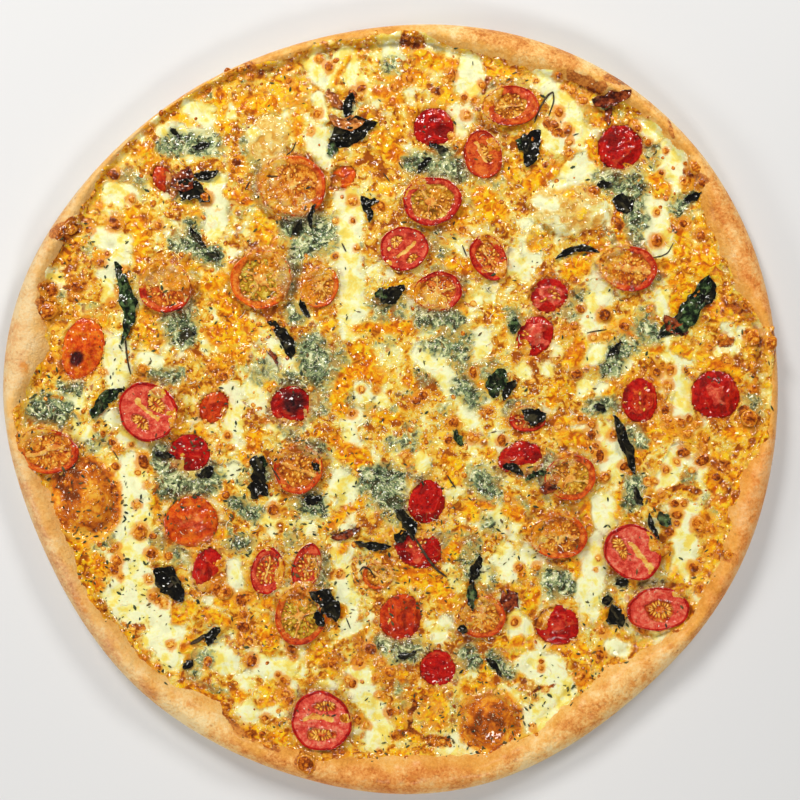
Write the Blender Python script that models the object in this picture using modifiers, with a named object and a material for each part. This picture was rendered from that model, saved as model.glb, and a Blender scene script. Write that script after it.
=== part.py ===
"""Baked cheese pizza with halved cherry tomatoes and wilted basil, seen whole and without a dish.

The pizza lies flat on its base, +Z up, with its origin under the middle of its bounding box.
Lengths are in metres. Directions on the pizza are degrees from +X, anticlockwise from above.
"""
import math
import random

import bmesh
import bpy
from mathutils import Matrix, Vector

MM = 0.001

# Driving dimensions
PIZZA_RADIUS = 176.2 * MM
CRUST_STEPS = 64
FLOOR_HEIGHT = 6.0 * MM          # dough under the cheese
CHEESE_TOP = 10.4 * MM
RIM_WIDTH = 11.5 * MM
RIM_CREST = 17.6 * MM
NARROW_CREST = 12.8 * MM         # crest height where the rim is pinched to nothing
FULL_CREST_WIDTH = 11.0 * MM     # a rim at least this wide rises to RIM_CREST
SLOPE_INSET = 3.4 * MM           # how far the rim's inner slope reaches under the cheese edge
GAP = 0.35 * MM                  # clearance between touching pieces
TOMATO_BASE = 7.0 * MM           # underside of a tomato half, pressed into the cheese
TOMATO_STEPS = 12
LEAF_THICKNESS = 0.8 * MM
LEAF_CLEARANCE = 0.45 * MM

# How the hand-stretched outline departs from a circle: waves round it, depth, direction of a crest
OUTLINE_WAVES = (
    (1, 4.1 * MM, 47),
    (2, 2.0 * MM, 36),
    (3, 3.2 * MM, 44),
    (4, 1.0 * MM, -17),
    (6, 0.8 * MM, -15),
    (7, 0.7 * MM, 22),
)

# How the rim's width varies: slow waves, then local changes (direction, spread, change)
RIM_WAVES = (
    (1, 3.3 * MM, -84),
    (3, 2.4 * MM, -50),
)
RIM_CHANGES = (
    (122, 16, -5.0 * MM),
    (45, 9, -5.0 * MM),
    (-36, 6, -9.0 * MM),
    (-54, 6, 4.0 * MM),
    (-174, 5, -8.0 * MM),
    (166, 4, 6.0 * MM),
)
NARROWEST_RIM = 4.0 * MM

# Blown bubbles: x, y, length, width, turn in degrees, top height
DOUGH_BUBBLES = (
    (-139.5, -40.0, 37, 29, 105, 19.0),
    (45.5, -141.5, 29, 26, 0, 18.0),
)
CHEESE_BUBBLES = (
    (-55.0, 123.0, 25, 21, 60, 14.2),
    (81.0, 91.0, 38, 24, -8, 15.0),
)
BUBBLE_DEPTH = 3.0 * MM          # how far a bubble's ball is sunk below the surface it rises from
DOUGH_BUBBLE_FOOT = 3.0 * MM     # flat foot of a dough bubble, inside the dough
CHEESE_BUBBLE_FOOT = 8.0 * MM    # flat foot of a bubble inside the cheese

# Cherry tomato halves: x, y, length, width (mm), turn (degrees), side up, lean (degrees)
TOMATOES = (
    (-44.8, 101.8, 30.5, 26.5, -20, "cut", 0),
    (-21.5, 106.0, 12.4, 10.6, 40, "skin", 0),
    (19.7, 129.2, 19.7, 17.4, 0, "skin", 0),
    (54.9, 138.0, 26.5, 18.3, 5, "cut", 5),
    (42.6, 116.3, 22.5, 16.5, 105, "cut", 0),
    (18.8, 94.6, 26.5, 23.0, 0, "cut", 0),
    (105.2, 119.6, 22.0, 20.4, 0, "skin", 0),
    (-102.0, 56.0, 23.8, 22.8, 0, "cut", 0),
    (-140.5, 27.7, 28.2, 19.0, 75, "skin", 0),
    (-110.6, -1.1, 27.2, 25.0, -40, "cut", 4),
    (-58.8, 58.8, 27.3, 26.2, 0, "cut", 0),
    (-31.8, 56.0, 18.6, 16.6, 60, "cut", 0),
    (6.2, 73.0, 22.4, 20.4, 0, "cut", 0),
    (-45.8, 2.1, 19.2, 18.2, 0, "skin", 0),
    (-80.5, 1.4, 15.4, 12.2, 60, "skin", 0),
    (21.6, 54.0, 22.0, 18.6, 0, "cut", 0),
    (45.3, 69.0, 21.6, 15.4, -60, "cut", 0),
    (72.9, 52.6, 18.0, 16.0, 0, "skin", 0),
    (66.4, 33.4, 19.6, 15.4, 60, "skin", 0),
    (108.0, 64.3, 27.3, 20.8, -10, "cut", 0),
    (114.4, 4.3, 20.6, 17.2, 90, "skin", 0),
    (149.1, 6.2, 22.7, 21.8, 90, "cut", 3),
    (-157.0, -19.0, 27.6, 20.6, -10, "cut", 9),
    (-91.6, -19.8, 19.0, 17.6, 0, "skin", 0),
    (-90.6, -51.0, 25.2, 23.6, 0, "cut", 0),
    (-41.6, -27.7, 22.7, 22.6, 0, "cut", 0),
    (-55.8, -73.4, 22.0, 15.2, 80, "cut", 0),
    (-38.2, -71.4, 21.6, 12.4, 75, "cut", 0),
    (-82.8, -74.6, 21.6, 15.6, 85, "skin", 0),
    (62.4, -4.4, 16.6, 12.4, 0, "cut", 0),
    (59.6, -22.4, 21.0, 15.6, 15, "cut", 0),
    (82.2, -30.6, 23.4, 21.2, 0, "cut", 0),
    (77.3, -57.6, 26.3, 21.0, 0, "cut", 0),
    (16.9, -42.6, 19.8, 17.0, 75, "skin", 0),
    (12.8, -63.8, 21.6, 17.6, -10, "cut", 0),
    (-5.4, -75.6, 14.6, 12.4, 0, "cut", 0),
    (4.6, -95.4, 21.6, 19.8, 90, "skin", 0),
    (110.6, -64.4, 27.8, 22.6, -45, "cut", 3),
    (121.6, -90.6, 29.6, 19.6, 0, "cut", 3),
    (-41.2, -94.0, 26.8, 24.2, 100, "cut", 0),
    (-31.6, -142.1, 27.7, 26.0, -20, "cut", 0),
    (41.6, -94.5, 21.8, 19.8, 0, "cut", 0),
    (76.9, -99.0, 20.0, 19.0, 0, "skin", 0),
    (21.5, -118.3, 17.2, 16.4, 0, "skin", 0),
    (-104.0, 105.5, 12.4, 9.0, -60, "skin", 0),
)
TOMATO_SEED = 5
TOMATO_UNEVEN = 0.035            # how far a half's outline departs from an ellipse, as a share
FLAT_HALF_HEIGHT = 3.0 * MM      # a half's height is this plus a share of its mean width
HEIGHT_PER_WIDTH = 0.22
SKIN_COLLAPSE = 0.88             # height of the wrinkled dome of a half that lies skin up

# Basil leaves that lie on the cheese: x, y, length, width (mm), turn (degrees), curl (mm)
LEAVES = (
    (-17.4, 127.0, 23.6, 11.8, 25, 2.2),
    (-89.6, 99.4, 18.0, 10.0, -25, 1.8),
    (64.6, 119.6, 17.2, 10.4, 70, 1.6),
    (-119.6, 48.7, 38.0, 7.4, 94, 1.0),
    (-130.0, 4.6, 19.6, 7.6, 42, 2.0),
    (-47.6, 33.0, 20.0, 10.8, -58, 1.4),
    (1.6, 52.4, 12.4, 9.0, 35, 1.8),
    (49.4, 12.1, 13.6, 11.6, 70, 2.0),
    (136.8, 45.1, 36.4, 15.4, 50, 2.6),
    (-99.8, -79.4, 19.0, 11.6, -50, 1.6),
    (-60.4, -30.9, 19.0, 9.0, 105, 1.6),
    (108.0, -15.6, 28.0, 6.4, -70, 1.4),
)
LEAF_LENGTH_CELLS = 6
LEAF_WIDTH_CELLS = 2


def clear_scene():
    """Remove every object, so that the model starts from nothing."""
    for old in list(bpy.data.objects):
        bpy.data.objects.remove(old, do_unlink=True)


def new_collection(name):
    """Return a new collection linked to the scene."""
    made = bpy.data.collections.new(name)
    bpy.context.scene.collection.children.link(made)
    return made


def make_material(name, colour, roughness):
    """Return a plain Principled material without metal."""
    made = bpy.data.materials.new(name)
    made.use_nodes = True
    shader = made.node_tree.nodes["Principled BSDF"]
    shader.inputs["Base Color"].default_value = (*colour, 1.0)
    shader.inputs["Roughness"].default_value = roughness
    shader.inputs["Metallic"].default_value = 0.0
    return made


def degrees_apart(first, second):
    """Return the smallest turn from one direction to another, in degrees."""
    return (first - second + 180.0) % 360.0 - 180.0


def outline_radius(angle):
    """Return the distance from the centre to the crust's outer edge, for an angle in radians."""
    radius = PIZZA_RADIUS
    for count, depth, crest in OUTLINE_WAVES:
        radius += depth * math.cos(count * (angle - math.radians(crest)))
    return radius


def rim_width(angle):
    """Return how wide the bare rim is in a direction, for an angle in radians."""
    width = RIM_WIDTH
    for count, depth, crest in RIM_WAVES:
        width += depth * math.cos(count * (angle - math.radians(crest)))
    for direction, spread, change in RIM_CHANGES:
        apart = degrees_apart(math.degrees(angle), direction)
        width += change * math.exp(-(apart / spread) ** 2)
    return max(width, NARROWEST_RIM)


def crest_height(width):
    """Return the height of the rim's crest: a wide rim has risen more than a pinched one."""
    risen = min(width / FULL_CREST_WIDTH, 1.0)
    return NARROW_CREST + (RIM_CREST - NARROW_CREST) * risen


def turned_mesh(name, profile, steps):
    """Turn a profile of (radius, height) points about Z with a Screw modifier, as a closed mesh."""
    mesh = bpy.data.meshes.new(name + "_profile")
    points = [(radius, 0.0, height) for radius, height in profile]
    edges = [(index, index + 1) for index in range(len(points) - 1)]
    mesh.from_pydata(points, edges, [])
    holder = bpy.data.objects.new(name + "_profile", mesh)
    bpy.context.scene.collection.objects.link(holder)
    screw = holder.modifiers.new("Turn", "SCREW")
    screw.axis = "Z"
    screw.angle = math.tau
    screw.steps = steps
    screw.render_steps = steps
    screw.use_merge_vertices = True
    screw.merge_threshold = 0.00001
    graph = bpy.context.evaluated_depsgraph_get()
    turned = bpy.data.meshes.new_from_object(holder.evaluated_get(graph))
    turned.name = name
    bpy.data.objects.remove(holder, do_unlink=True)
    bpy.data.meshes.remove(mesh)
    return turned


def add_object(name, mesh, collection, material):
    """Put a mesh into the scene as a smooth-shaded object of one material."""
    mesh.shade_smooth()
    made = bpy.data.objects.new(name, mesh)
    if material is not None:
        mesh.materials.append(material)
    collection.objects.link(made)
    return made


def hide_cutter(cutter):
    """Mark an object as a cutter, which is not part of the pizza."""
    cutter.hide_render = True
    cutter.display_type = "WIRE"


def middle_of_outline():
    """Return the centre of the outline's bounding box, from which the pizza is measured."""
    angles = [math.tau * step / CRUST_STEPS for step in range(CRUST_STEPS)]
    across = [outline_radius(angle) * math.cos(angle) for angle in angles]
    along = [outline_radius(angle) * math.sin(angle) for angle in angles]
    middle_x = (min(across) + max(across)) / 2.0
    middle_y = (min(along) + max(along)) / 2.0
    return Vector((middle_x, middle_y, 0.0))


def reshape_ring_mesh(mesh, place_ring, middle):
    """Move each turned point: its radius is a ring number, which place_ring makes a real place."""
    for vertex in mesh.vertices:
        ring = round(math.hypot(vertex.co.x, vertex.co.y))
        if ring == 0:
            vertex.co = Vector((0.0, 0.0, vertex.co.z)) - middle
            continue
        angle = math.atan2(vertex.co.y, vertex.co.x)
        radius, height = place_ring(ring, angle, vertex.co.z)
        vertex.co = Vector((radius * math.cos(angle), radius * math.sin(angle), height)) - middle
    mesh.update()


def place_crust_ring(ring, angle, height):
    """Return radius and height of a point of the crust, for the numbered rings of its profile."""
    outer = outline_radius(angle)
    width = rim_width(angle)
    inner = outer - width
    crest = crest_height(width)
    rise = crest - CHEESE_TOP
    places = {
        1: (0.5 * inner, FLOOR_HEIGHT),
        2: (inner - SLOPE_INSET, FLOOR_HEIGHT),
        3: (inner, CHEESE_TOP),
        4: (inner + 0.24 * width, CHEESE_TOP + 0.72 * rise),
        5: (inner + 0.50 * width, crest),
        6: (inner + 0.80 * width, CHEESE_TOP + 0.62 * rise),
        7: (outer, 0.42 * crest),
        8: (outer - 1.4 * MM, 2.2 * MM),
        9: (outer - 4.5 * MM, 0.0),
    }
    return places[ring]


def make_crust(collection, material, middle):
    """Build the dough base and its raised rim."""
    profile = [(0.0, FLOOR_HEIGHT)]
    profile += [(float(ring), FLOOR_HEIGHT) for ring in range(1, 9)]
    profile += [(9.0, 0.0), (0.0, 0.0)]
    mesh = turned_mesh("crust", profile, CRUST_STEPS)
    reshape_ring_mesh(mesh, place_crust_ring, middle)
    return add_object("crust", mesh, collection, material)


def cheese_height(x, y):
    """Return the height of the cheese's gently uneven top, for a place measured in metres."""
    slow = math.sin(x / (31.0 * MM) + 0.6) * math.cos(y / (37.0 * MM) - 0.4)
    return CHEESE_TOP + 0.45 * MM * slow


def make_cheese(collection, material, middle):
    """Build the melted cheese that fills the space inside the rim."""
    shares = {1: 0.30, 2: 0.55, 3: 0.76, 4: 0.92}

    def place_ring(ring, angle, height):
        inner = outline_radius(angle) - rim_width(angle)
        if ring == 6:
            return inner - SLOPE_INSET - 1.3 * GAP, FLOOR_HEIGHT + GAP
        if ring == 5:
            return inner - 1.3 * GAP, CHEESE_TOP
        radius = shares[ring] * inner
        x = radius * math.cos(angle) - middle.x
        y = radius * math.sin(angle) - middle.y
        return radius, cheese_height(x, y)

    profile = [(0.0, CHEESE_TOP)]
    profile += [(float(ring), CHEESE_TOP) for ring in range(1, 6)]
    profile += [(6.0, FLOOR_HEIGHT + GAP), (0.0, FLOOR_HEIGHT + GAP)]
    mesh = turned_mesh("cheese", profile, CRUST_STEPS)
    reshape_ring_mesh(mesh, place_ring, middle)
    return add_object("cheese", mesh, collection, material)


def make_bubble(name, size, foot, grow, collection):
    """Build the flat-footed ball whose cap is a bubble rising from the cheese's top."""
    x, y, length, width, turn, top = size
    mesh = bpy.data.meshes.new(name)
    shape = bmesh.new()
    bmesh.ops.create_uvsphere(shape, u_segments=14, v_segments=8, radius=1.0)
    shape.to_mesh(mesh)
    shape.free()
    centre_height = CHEESE_TOP - BUBBLE_DEPTH
    # The ball is widened until its section at the cheese's top has the stated size.
    vertical = top * MM - centre_height
    widened = 1.0 / math.sqrt(1.0 - (BUBBLE_DEPTH / vertical) ** 2)
    radii = (length * MM / 2 * widened + grow, width * MM / 2 * widened + grow, vertical + grow)
    place = Matrix.Translation((x * MM, y * MM, centre_height))
    turned = Matrix.Rotation(math.radians(turn), 4, "Z")
    mesh.transform(place @ turned @ Matrix.Diagonal((*radii, 1.0)))
    for vertex in mesh.vertices:
        vertex.co.z = max(vertex.co.z, foot - grow)
    ball = add_object(name, mesh, collection, None)
    hide_cutter(ball)
    return ball


def add_boolean(target, operation, cutter):
    """Cut or join one object with an exact Boolean modifier."""
    cut = target.modifiers.new(cutter.name, "BOOLEAN")
    cut.operation = operation
    cut.solver = "EXACT"
    cut.object = cutter


def tomato_height(length, width):
    """Return how tall a baked half is."""
    return FLAT_HALF_HEIGHT + HEIGHT_PER_WIDTH * (length + width) / 2.0 * MM


def tomato_mesh(name, length, width, side_up, wobble, grow):
    """Build one cherry tomato half, its underside at height zero, grown evenly by a clearance."""
    tall = tomato_height(length, width)
    if side_up == "cut":
        profile = [(0.0, tall - 0.5 * MM), (0.90, tall), (1.0, tall - 1.9 * MM), (0.74, 0.0), (0.0, 0.0)]
    else:
        tall *= SKIN_COLLAPSE
        profile = [(0.0, tall), (0.62, 0.88 * tall), (1.0, 0.42 * tall), (0.84, 0.0), (0.0, 0.0)]
    mesh = turned_mesh(name, profile, TOMATO_STEPS)
    stretch = (tall + 2.0 * grow) / tall
    for vertex in mesh.vertices:
        angle = math.atan2(vertex.co.y, vertex.co.x)
        uneven = 1.0 + TOMATO_UNEVEN * (
            math.cos(2.0 * angle + wobble[0]) * 0.5 + math.cos(3.0 * angle + wobble[1]))
        vertex.co.x *= length * MM / 2.0 * uneven + grow
        vertex.co.y *= width * MM / 2.0 * uneven + grow
        vertex.co.z = vertex.co.z * stretch - grow
    mesh.update()
    return mesh


def make_tomatoes(parts, cutters, material):
    """Build every tomato half and the cutter of the pocket it sits in."""
    chance = random.Random(TOMATO_SEED)
    pockets = []
    for number, (x, y, length, width, turn, side_up, lean) in enumerate(TOMATOES, start=1):
        wobble = (chance.uniform(0.0, math.tau), chance.uniform(0.0, math.tau))
        name = f"tomato_half_{number:02d}"
        half = add_object(name, tomato_mesh(name, length, width, side_up, wobble, 0.0), parts, material)
        pocket_name = f"pocket_{number:02d}"
        pocket_mesh = tomato_mesh(pocket_name, length, width, side_up, wobble, GAP)
        pocket = add_object(pocket_name, pocket_mesh, cutters, None)
        hide_cutter(pocket)
        for piece in (half, pocket):
            piece.location = (x * MM, y * MM, TOMATO_BASE)
            piece.rotation_euler = (0.0, math.radians(lean), math.radians(turn))
        pockets.append(pocket)
    return pockets


def cut_pockets(cheese, crust, pockets):
    """Sink the tomatoes into the cheese, and into the rim where one leans on it."""
    for pocket in pockets:
        add_boolean(cheese, "DIFFERENCE", pocket)
        reach = math.hypot(pocket.location.x, pocket.location.y)
        if reach > 0.8 * PIZZA_RADIUS:
            add_boolean(crust, "DIFFERENCE", pocket)


def leaf_half_width(share, width):
    """Return a leaf's half width at a share of its length: widest near the stalk, then tapering."""
    return width / 2.0 * max(math.sin(math.pi * (0.06 + 0.90 * share ** 0.85)), 0.0) ** 0.8


def make_leaf(name, placed, collection, material):
    """Build one wilted basil leaf as a thin curled sheet."""
    x, y, length, width, turn, curl = placed
    mesh = bpy.data.meshes.new(name)
    shape = bmesh.new()
    bmesh.ops.create_grid(shape, x_segments=LEAF_LENGTH_CELLS, y_segments=LEAF_WIDTH_CELLS, size=0.5)
    for vertex in shape.verts:
        share = vertex.co.x + 0.5
        across = vertex.co.y * 2.0
        bow = (2.0 * share - 1.0) ** 2
        ripple = 0.25 * math.sin(5.5 * share + 0.2 * x)
        vertex.co.z = curl * MM * (0.45 * bow + 0.35 * across ** 2 + ripple * across)
        vertex.co.y = across * leaf_half_width(share, width * MM)
        vertex.co.x = (share - 0.5) * length * MM
    lowest = min(vertex.co.z for vertex in shape.verts)
    bmesh.ops.translate(shape, verts=shape.verts, vec=(0.0, 0.0, -lowest))
    shape.to_mesh(mesh)
    shape.free()
    leaf = add_object(name, mesh, collection, material)
    turned = Matrix.Rotation(math.radians(turn), 2)
    heights = []
    for vertex in mesh.vertices:
        flat = turned @ vertex.co.to_2d()
        heights.append(cheese_height(x * MM + flat.x, y * MM + flat.y) - vertex.co.z)
    leaf.location = (x * MM, y * MM, max(heights) + LEAF_CLEARANCE)
    leaf.rotation_euler = (0.0, 0.0, math.radians(turn))
    solid = leaf.modifiers.new("Thickness", "SOLIDIFY")
    solid.thickness = LEAF_THICKNESS
    solid.offset = 1.0
    return leaf


def build():
    """Build the whole pizza."""
    clear_scene()
    parts = new_collection("pizza")
    cutters = new_collection("cutters")
    dough = make_material("baked_dough", (0.78, 0.50, 0.24), 0.6)
    melted = make_material("melted_cheese", (0.86, 0.72, 0.30), 0.35)
    tomato = make_material("roasted_tomato", (0.70, 0.10, 0.04), 0.3)
    basil = make_material("wilted_basil", (0.05, 0.09, 0.03), 0.5)

    middle = middle_of_outline()
    crust = make_crust(parts, dough, middle)
    cheese = make_cheese(parts, melted, middle)
    for number, size in enumerate(CHEESE_BUBBLES, start=1):
        mound = make_bubble(f"cheese_bubble_{number}", size, CHEESE_BUBBLE_FOOT, 0.0, cutters)
        add_boolean(cheese, "UNION", mound)
    for number, size in enumerate(DOUGH_BUBBLES, start=1):
        dome = make_bubble(f"dough_bubble_{number}", size, DOUGH_BUBBLE_FOOT, 0.0, cutters)
        add_boolean(crust, "UNION", dome)
        room = make_bubble(f"bubble_room_{number}", size, DOUGH_BUBBLE_FOOT, GAP, cutters)
        add_boolean(cheese, "DIFFERENCE", room)

    pockets = make_tomatoes(parts, cutters, tomato)
    cut_pockets(cheese, crust, pockets)
    for number, placed in enumerate(LEAVES, start=1):
        make_leaf(f"basil_leaf_{number:02d}", placed, parts, basil)


build()
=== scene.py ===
"""Looks of a baked cheese pizza with cherry tomato halves and wilted basil.

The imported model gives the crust's outline and each tomato's and leaf's place. Around them this
script makes the fine surfaces: blistered cheese, freckled crust, cut tomatoes and crumpled leaves.
Lengths are millimetres until a mesh is written; X, Y are seen from above and +Z is up.
"""
import functools
import math

import bpy
import numpy as np
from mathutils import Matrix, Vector


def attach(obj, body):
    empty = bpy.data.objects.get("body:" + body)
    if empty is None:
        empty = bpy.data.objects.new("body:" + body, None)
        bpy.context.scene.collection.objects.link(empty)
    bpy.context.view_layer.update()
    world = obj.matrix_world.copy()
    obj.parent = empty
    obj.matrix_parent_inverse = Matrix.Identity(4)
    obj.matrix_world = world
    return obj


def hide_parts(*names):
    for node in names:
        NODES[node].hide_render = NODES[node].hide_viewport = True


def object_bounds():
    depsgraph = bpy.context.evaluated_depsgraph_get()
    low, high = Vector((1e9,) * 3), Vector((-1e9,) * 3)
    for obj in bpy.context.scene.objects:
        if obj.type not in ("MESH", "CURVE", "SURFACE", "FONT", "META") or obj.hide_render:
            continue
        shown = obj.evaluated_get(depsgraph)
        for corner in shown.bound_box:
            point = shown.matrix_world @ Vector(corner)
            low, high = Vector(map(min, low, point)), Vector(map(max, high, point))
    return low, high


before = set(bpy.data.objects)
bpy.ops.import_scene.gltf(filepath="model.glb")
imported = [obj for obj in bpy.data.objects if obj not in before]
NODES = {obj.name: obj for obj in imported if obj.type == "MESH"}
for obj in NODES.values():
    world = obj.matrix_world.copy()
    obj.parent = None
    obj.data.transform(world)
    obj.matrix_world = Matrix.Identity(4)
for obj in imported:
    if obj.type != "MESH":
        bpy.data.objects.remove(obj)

CAD_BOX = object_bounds()
MM = 0.001

# ---------------------------------------------------------------- sizes shared with the solids
FLOOR_LEVEL = 6.0          # dough under the cheese
CHEESE_LEVEL = 10.4        # level of the cheese where it meets the rim
RIM_CREST = 17.4
NARROW_CREST = 12.8
FULL_CREST_WIDTH = 11.0
HIGHEST = CAD_BOX[1].z / MM

# ---------------------------------------------------------------- layout of the toppings
# A streak is its width and the points it runs through.
POOLS = (
    (9, -133, 78, -122, 75), (10, -128, 64, -124, 68), (10, -126, 99, -119, 98),
    (9, -91, 138, -84, 134), (12, -80, 103, -80, 84), (5, -104, 127, -86, 127),
    (12, -33, 157, -27, 151), (10, -20, 160, -15, 149), (7, -32, 142, -31, 134),
    (9, -34, 124, -31, 115), (12, 36, 158, 37, 147), (5, 32, 136, 33, 128),
    (13, -20, 96, -19, 85), (11, -18, 78, -20, 66), (8, 57, 70, 56, 64), (7, 35, 72, 37, 71),
    (9, 69, 157, 71, 154), (12, 72, 148, 83, 133, 88, 124), (12, 90, 112, 78, 105),
    (9, 72, 128, 77, 122), (9, 114, 128, 123, 128), (13, 128, 118, 132, 112, 127, 105),
    (12, 121, 93, 122, 80, 126, 75), (6, 68, 94, 74, 93),
    (7, -128, 60, -127, 51), (11, -126, 27, -124, 15), (6, -113, 24, -106, 22),
    (8, -121, -5, -127, -3), (8, -120, -13, -113, -16), (15, -118, -28, -117, -60, -116, -74),
    (7, -145, 5, -140, 3), (7, -142, -9, -138, -10), (9, -72, 10, -72, -8), (7, -70, -28, -75, -30),
    (12, -19, 60, -17, 44), (8, -18, 40, -18, 34), (9, -14, 9, -12, 6), (7, -4, 5, -2, 3),
    (8, -15, -3, -18, -6), (9, -18, -13, -16, -16), (11, -24, -34, -18, -36),
    (10, 15, 25, 22, 18, 26, 14), (9, 42, 32, 42, 26), (8, 15, -23, 15, -25), (8, 35, 0, 36, -5),
    (7, 47, -45, 49, -50), (8, 50, -13, 50, -16),
    (12, 95, 53, 92, 40), (8, 95, 27, 94, 24), (8, 124, 50, 124, 46), (6, 128, 24, 137, 22),
    (10, 130, 15, 134, 8, 134, 0), (12, 98, -12, 100, -18, 102, -26), (14, 97, -44, 100, -50),
    (10, 133, -20, 126, -33), (12, 134, -47, 135, -57), (6, 87, 11, 88, 9), (6, 61, 18, 62, 17),
    (16, -124, -84, -118, -91, -111, -90), (10, -106, -94, -104, -100),
    (12, -107, -105, -99, -106, -100, -114), (10, -80, -111, -74, -116), (8, -72, -72, -70, -80),
    (9, -66, -137, -64, -139), (10, -22, -64, -21, -84), (8, -18, -86, -20, -96),
    (10, -58, -117, -46, -118), (12, -14, -122, -10, -133, -5, -148), (8, -6, -151, -6, -154),
    (9, 57, -96, 58, -102), (7, 55, -70, 55, -75), (6, 43, -72, 43, -77), (8, 25, -98, 22, -103),
    (14, 94, -62, 92, -76, 91, -84), (8, 64, -66, 66, -68), (11, 136, -62, 132, -73),
    (5, 142, -84, 142, -86), (8, 60, -98, 61, -102),
    (15, 64, -114, 72, -118, 77, -127, 75, -136, 68, -141), (8, 102, -107, 106, -109),
)
CHEDDAR = (
    (8, -118, 90, -114, 76), (7, -115, 78, -114, 66), (6, -108, 113, -112, 118), (9, -66, 140, -54, 141),
    (5, -97, 133, -95, 133), (6, -72, 98, -66, 96), (5, -75, 130, -72, 128), (5, -42, 134, -40, 122),
    (9, -5, 124, 4, 116), (5, 3, 129, 3, 127), (7, 13, 160, 28, 158), (7, -4, 146, 3, 142),
    (11, 42, 98, 47, 90), (8, 28, 67, 35, 66), (4, -41, 112, -39, 112), (5, -3, 100, -1, 100),
    (3, -25, 148, -18, 159), (8, 75, 110, 65, 103), (6, 93, 120, 93, 114), (7, 122, 106, 124, 100),
    (6, 133, 85, 132, 71), (12, 143, 71, 146, 62), (8, 105, 86, 108, 78), (7, 88, 71, 97, 74),
    (11, 84, 66, 87, 65), (5, 126, 66, 128, 65),
    (12, -66, 36, -78, 34, -70, 29), (8, -78, 51, -72, 44), (7, -82, 57, -76, 60),
    (6, -112, 40, -108, 36), (4, -134, 4, -129, 4), (6, -158, 24, -155, 20), (4, -142, -22, -138, -23),
    (4, -97, -5, -96, -10), (6, -62, -12, -64, -18), (4, -76, -40, -74, -40), (5, -78, -58, -76, -58),
    (8, -24, 6, -20, 15, -12, 18, -5, 14), (6, -24, 4, -20, -2), (5, -7, -3, 3, -4),
    (9, -13, 27, -10, 22), (5, -28, 38, -26, 38), (5, -15, 37, 8, 37), (6, 8, 14, 10, 12),
    (11, -20, -20, -13, -22), (5, -25, -13, -25, -15), (4, -12, -42, -20, -47, -29, -54),
    (7, 36, -45, 38, -47), (6, 42, -42, 45, -43), (5, 45, -19, 47, -19), (8, 55, -45, 58, -47),
    (5, 25, -22, 32, -26),
    (11, 132, 57, 138, 51, 132, 48), (9, 85, 28, 84, 22), (7, 107, 37, 112, 34), (6, 131, 28, 137, 26),
    (5, 120, 28, 123, 28), (5, 75, 9, 74, 3), (4, 80, 10, 82, 10), (7, 79, -13, 89, -15),
    (7, 148, 21, 158, 16), (9, 149, 45, 159, 43), (5, 88, -42, 91, -53), (4, 104, -39, 106, -48),
    (5, 112, -21, 118, -18), (10, 149, -32, 152, -42), (3, 128, -37, 134, -36, 140, -38),
    (6, 156, -11, 158, -13), (7, 162, -8, 168, -12),
    (6, -145, -61, -140, -63), (7, -135, -70, -134, -80), (8, -98, -96, -93, -92),
    (6, -92, -107, -90, -113), (6, -85, -95, -76, -97), (4, -68, -94, -66, -105), (6, -71, -130, -68, -131),
    (10, 7, -75, 22, -79, 27, -88), (8, 28, -66, 30, -60), (7, -27, -97, -24, -92),
    (9, -56, -102, -54, -106), (8, 56, -112, 59, -108), (5, -57, -95, -57, -97), (5, 10, -132, 15, -132),
    (5, -55, -152, -49, -150), (6, -49, -129, -47, -133), (4, 5, -157, 7, -157), (4, -22, -62, -22, -64),
    (7, 66, -85, 64, -90), (6, 87, -125, 88, -120), (6, 82, -112, 87, -110), (4, 94, -101, 98, -99),
    (4, 95, -112, 98, -111), (3, 104, -102, 108, -104), (6, 85, -71, 84, -77), (5, 133, -81, 130, -76),
    (3, 126, -69, 126, -72), (4, 65, -105, 65, -107), (5, 35, -128, 42, -128),
)
HERBS = (
    (9, -101, 121, -81, 121), (7, -96, 78, -88, 74, -80, 69), (4, -90, 85, -88, 77),
    (10, 11, 112, 31, 110), (6, 24, 119, 27, 118), (6, -37, 96, -35, 96), (11, -45, 84, -31, 82),
    (10, -40, 75, -33, 76), (8, -44, 67, -44, 64), (6, 95, 106, 103, 106), (9, 104, 103, 113, 100),
    (9, 110, 94, 112, 86), (5, 113, 110, 113, 106), (4, 113, 78, 113, 73), (7, 132, 93, 141, 98),
    (10, -95, 48, -93, 33), (7, -100, 40, -98, 36), (5, -107, 16, -97, 15), (11, -103, -22, -99, -32),
    (8, -101, -36, -84, -36), (10, -84, -28, -82, -32), (7, -70, -44, -62, -48), (12, -160, 1, -151, 0),
    (5, -147, 11, -144, 10), (12, -36, 28, -34, 18), (6, -46, 13, -42, 13), (10, 14, 42, 28, 42),
    (7, 20, 28, 28, 28), (8, 34, 11, 38, 6), (4, 35, 31, 32, 19), (13, -8, -32, 2, -34),
    (11, -3, -40, 4, -44), (8, -37, -18, -33, -18), (11, -37, -42, -35, -44), (10, 41, -30, 45, -36),
    (5, -45, 45, -43, 43), (7, -47, 60, -46, 56), (4, 44, -51, 46, -53), (6, 57, 41, 57, 39),
    (8, 102, 23, 108, 29), (7, 100, 19, 102, 19), (7, 116, 37, 120, 34), (7, 95, 1, 102, 2),
    (6, 110, -10, 115, -15), (8, 74, -24, 68, -28), (8, 112, -33, 110, -43), (6, 62, -29, 64, -29),
    (5, -97, -64, -95, -68), (5, -87, -113, -83, -113), (6, -3, -107, 11, -108), (5, 5, -113, 10, -112),
    (6, 47, -112, 54, -120), (7, 35, -110, 38, -116), (5, -33, -67, -32, -76), (11, 74, -77, 79, -80),
    (5, 104, -79, 106, -79), (3, 99, -87, 100, -87), (5, 75, -77, 75, -84), (5, -70, -62, -66, -62),
)
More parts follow.
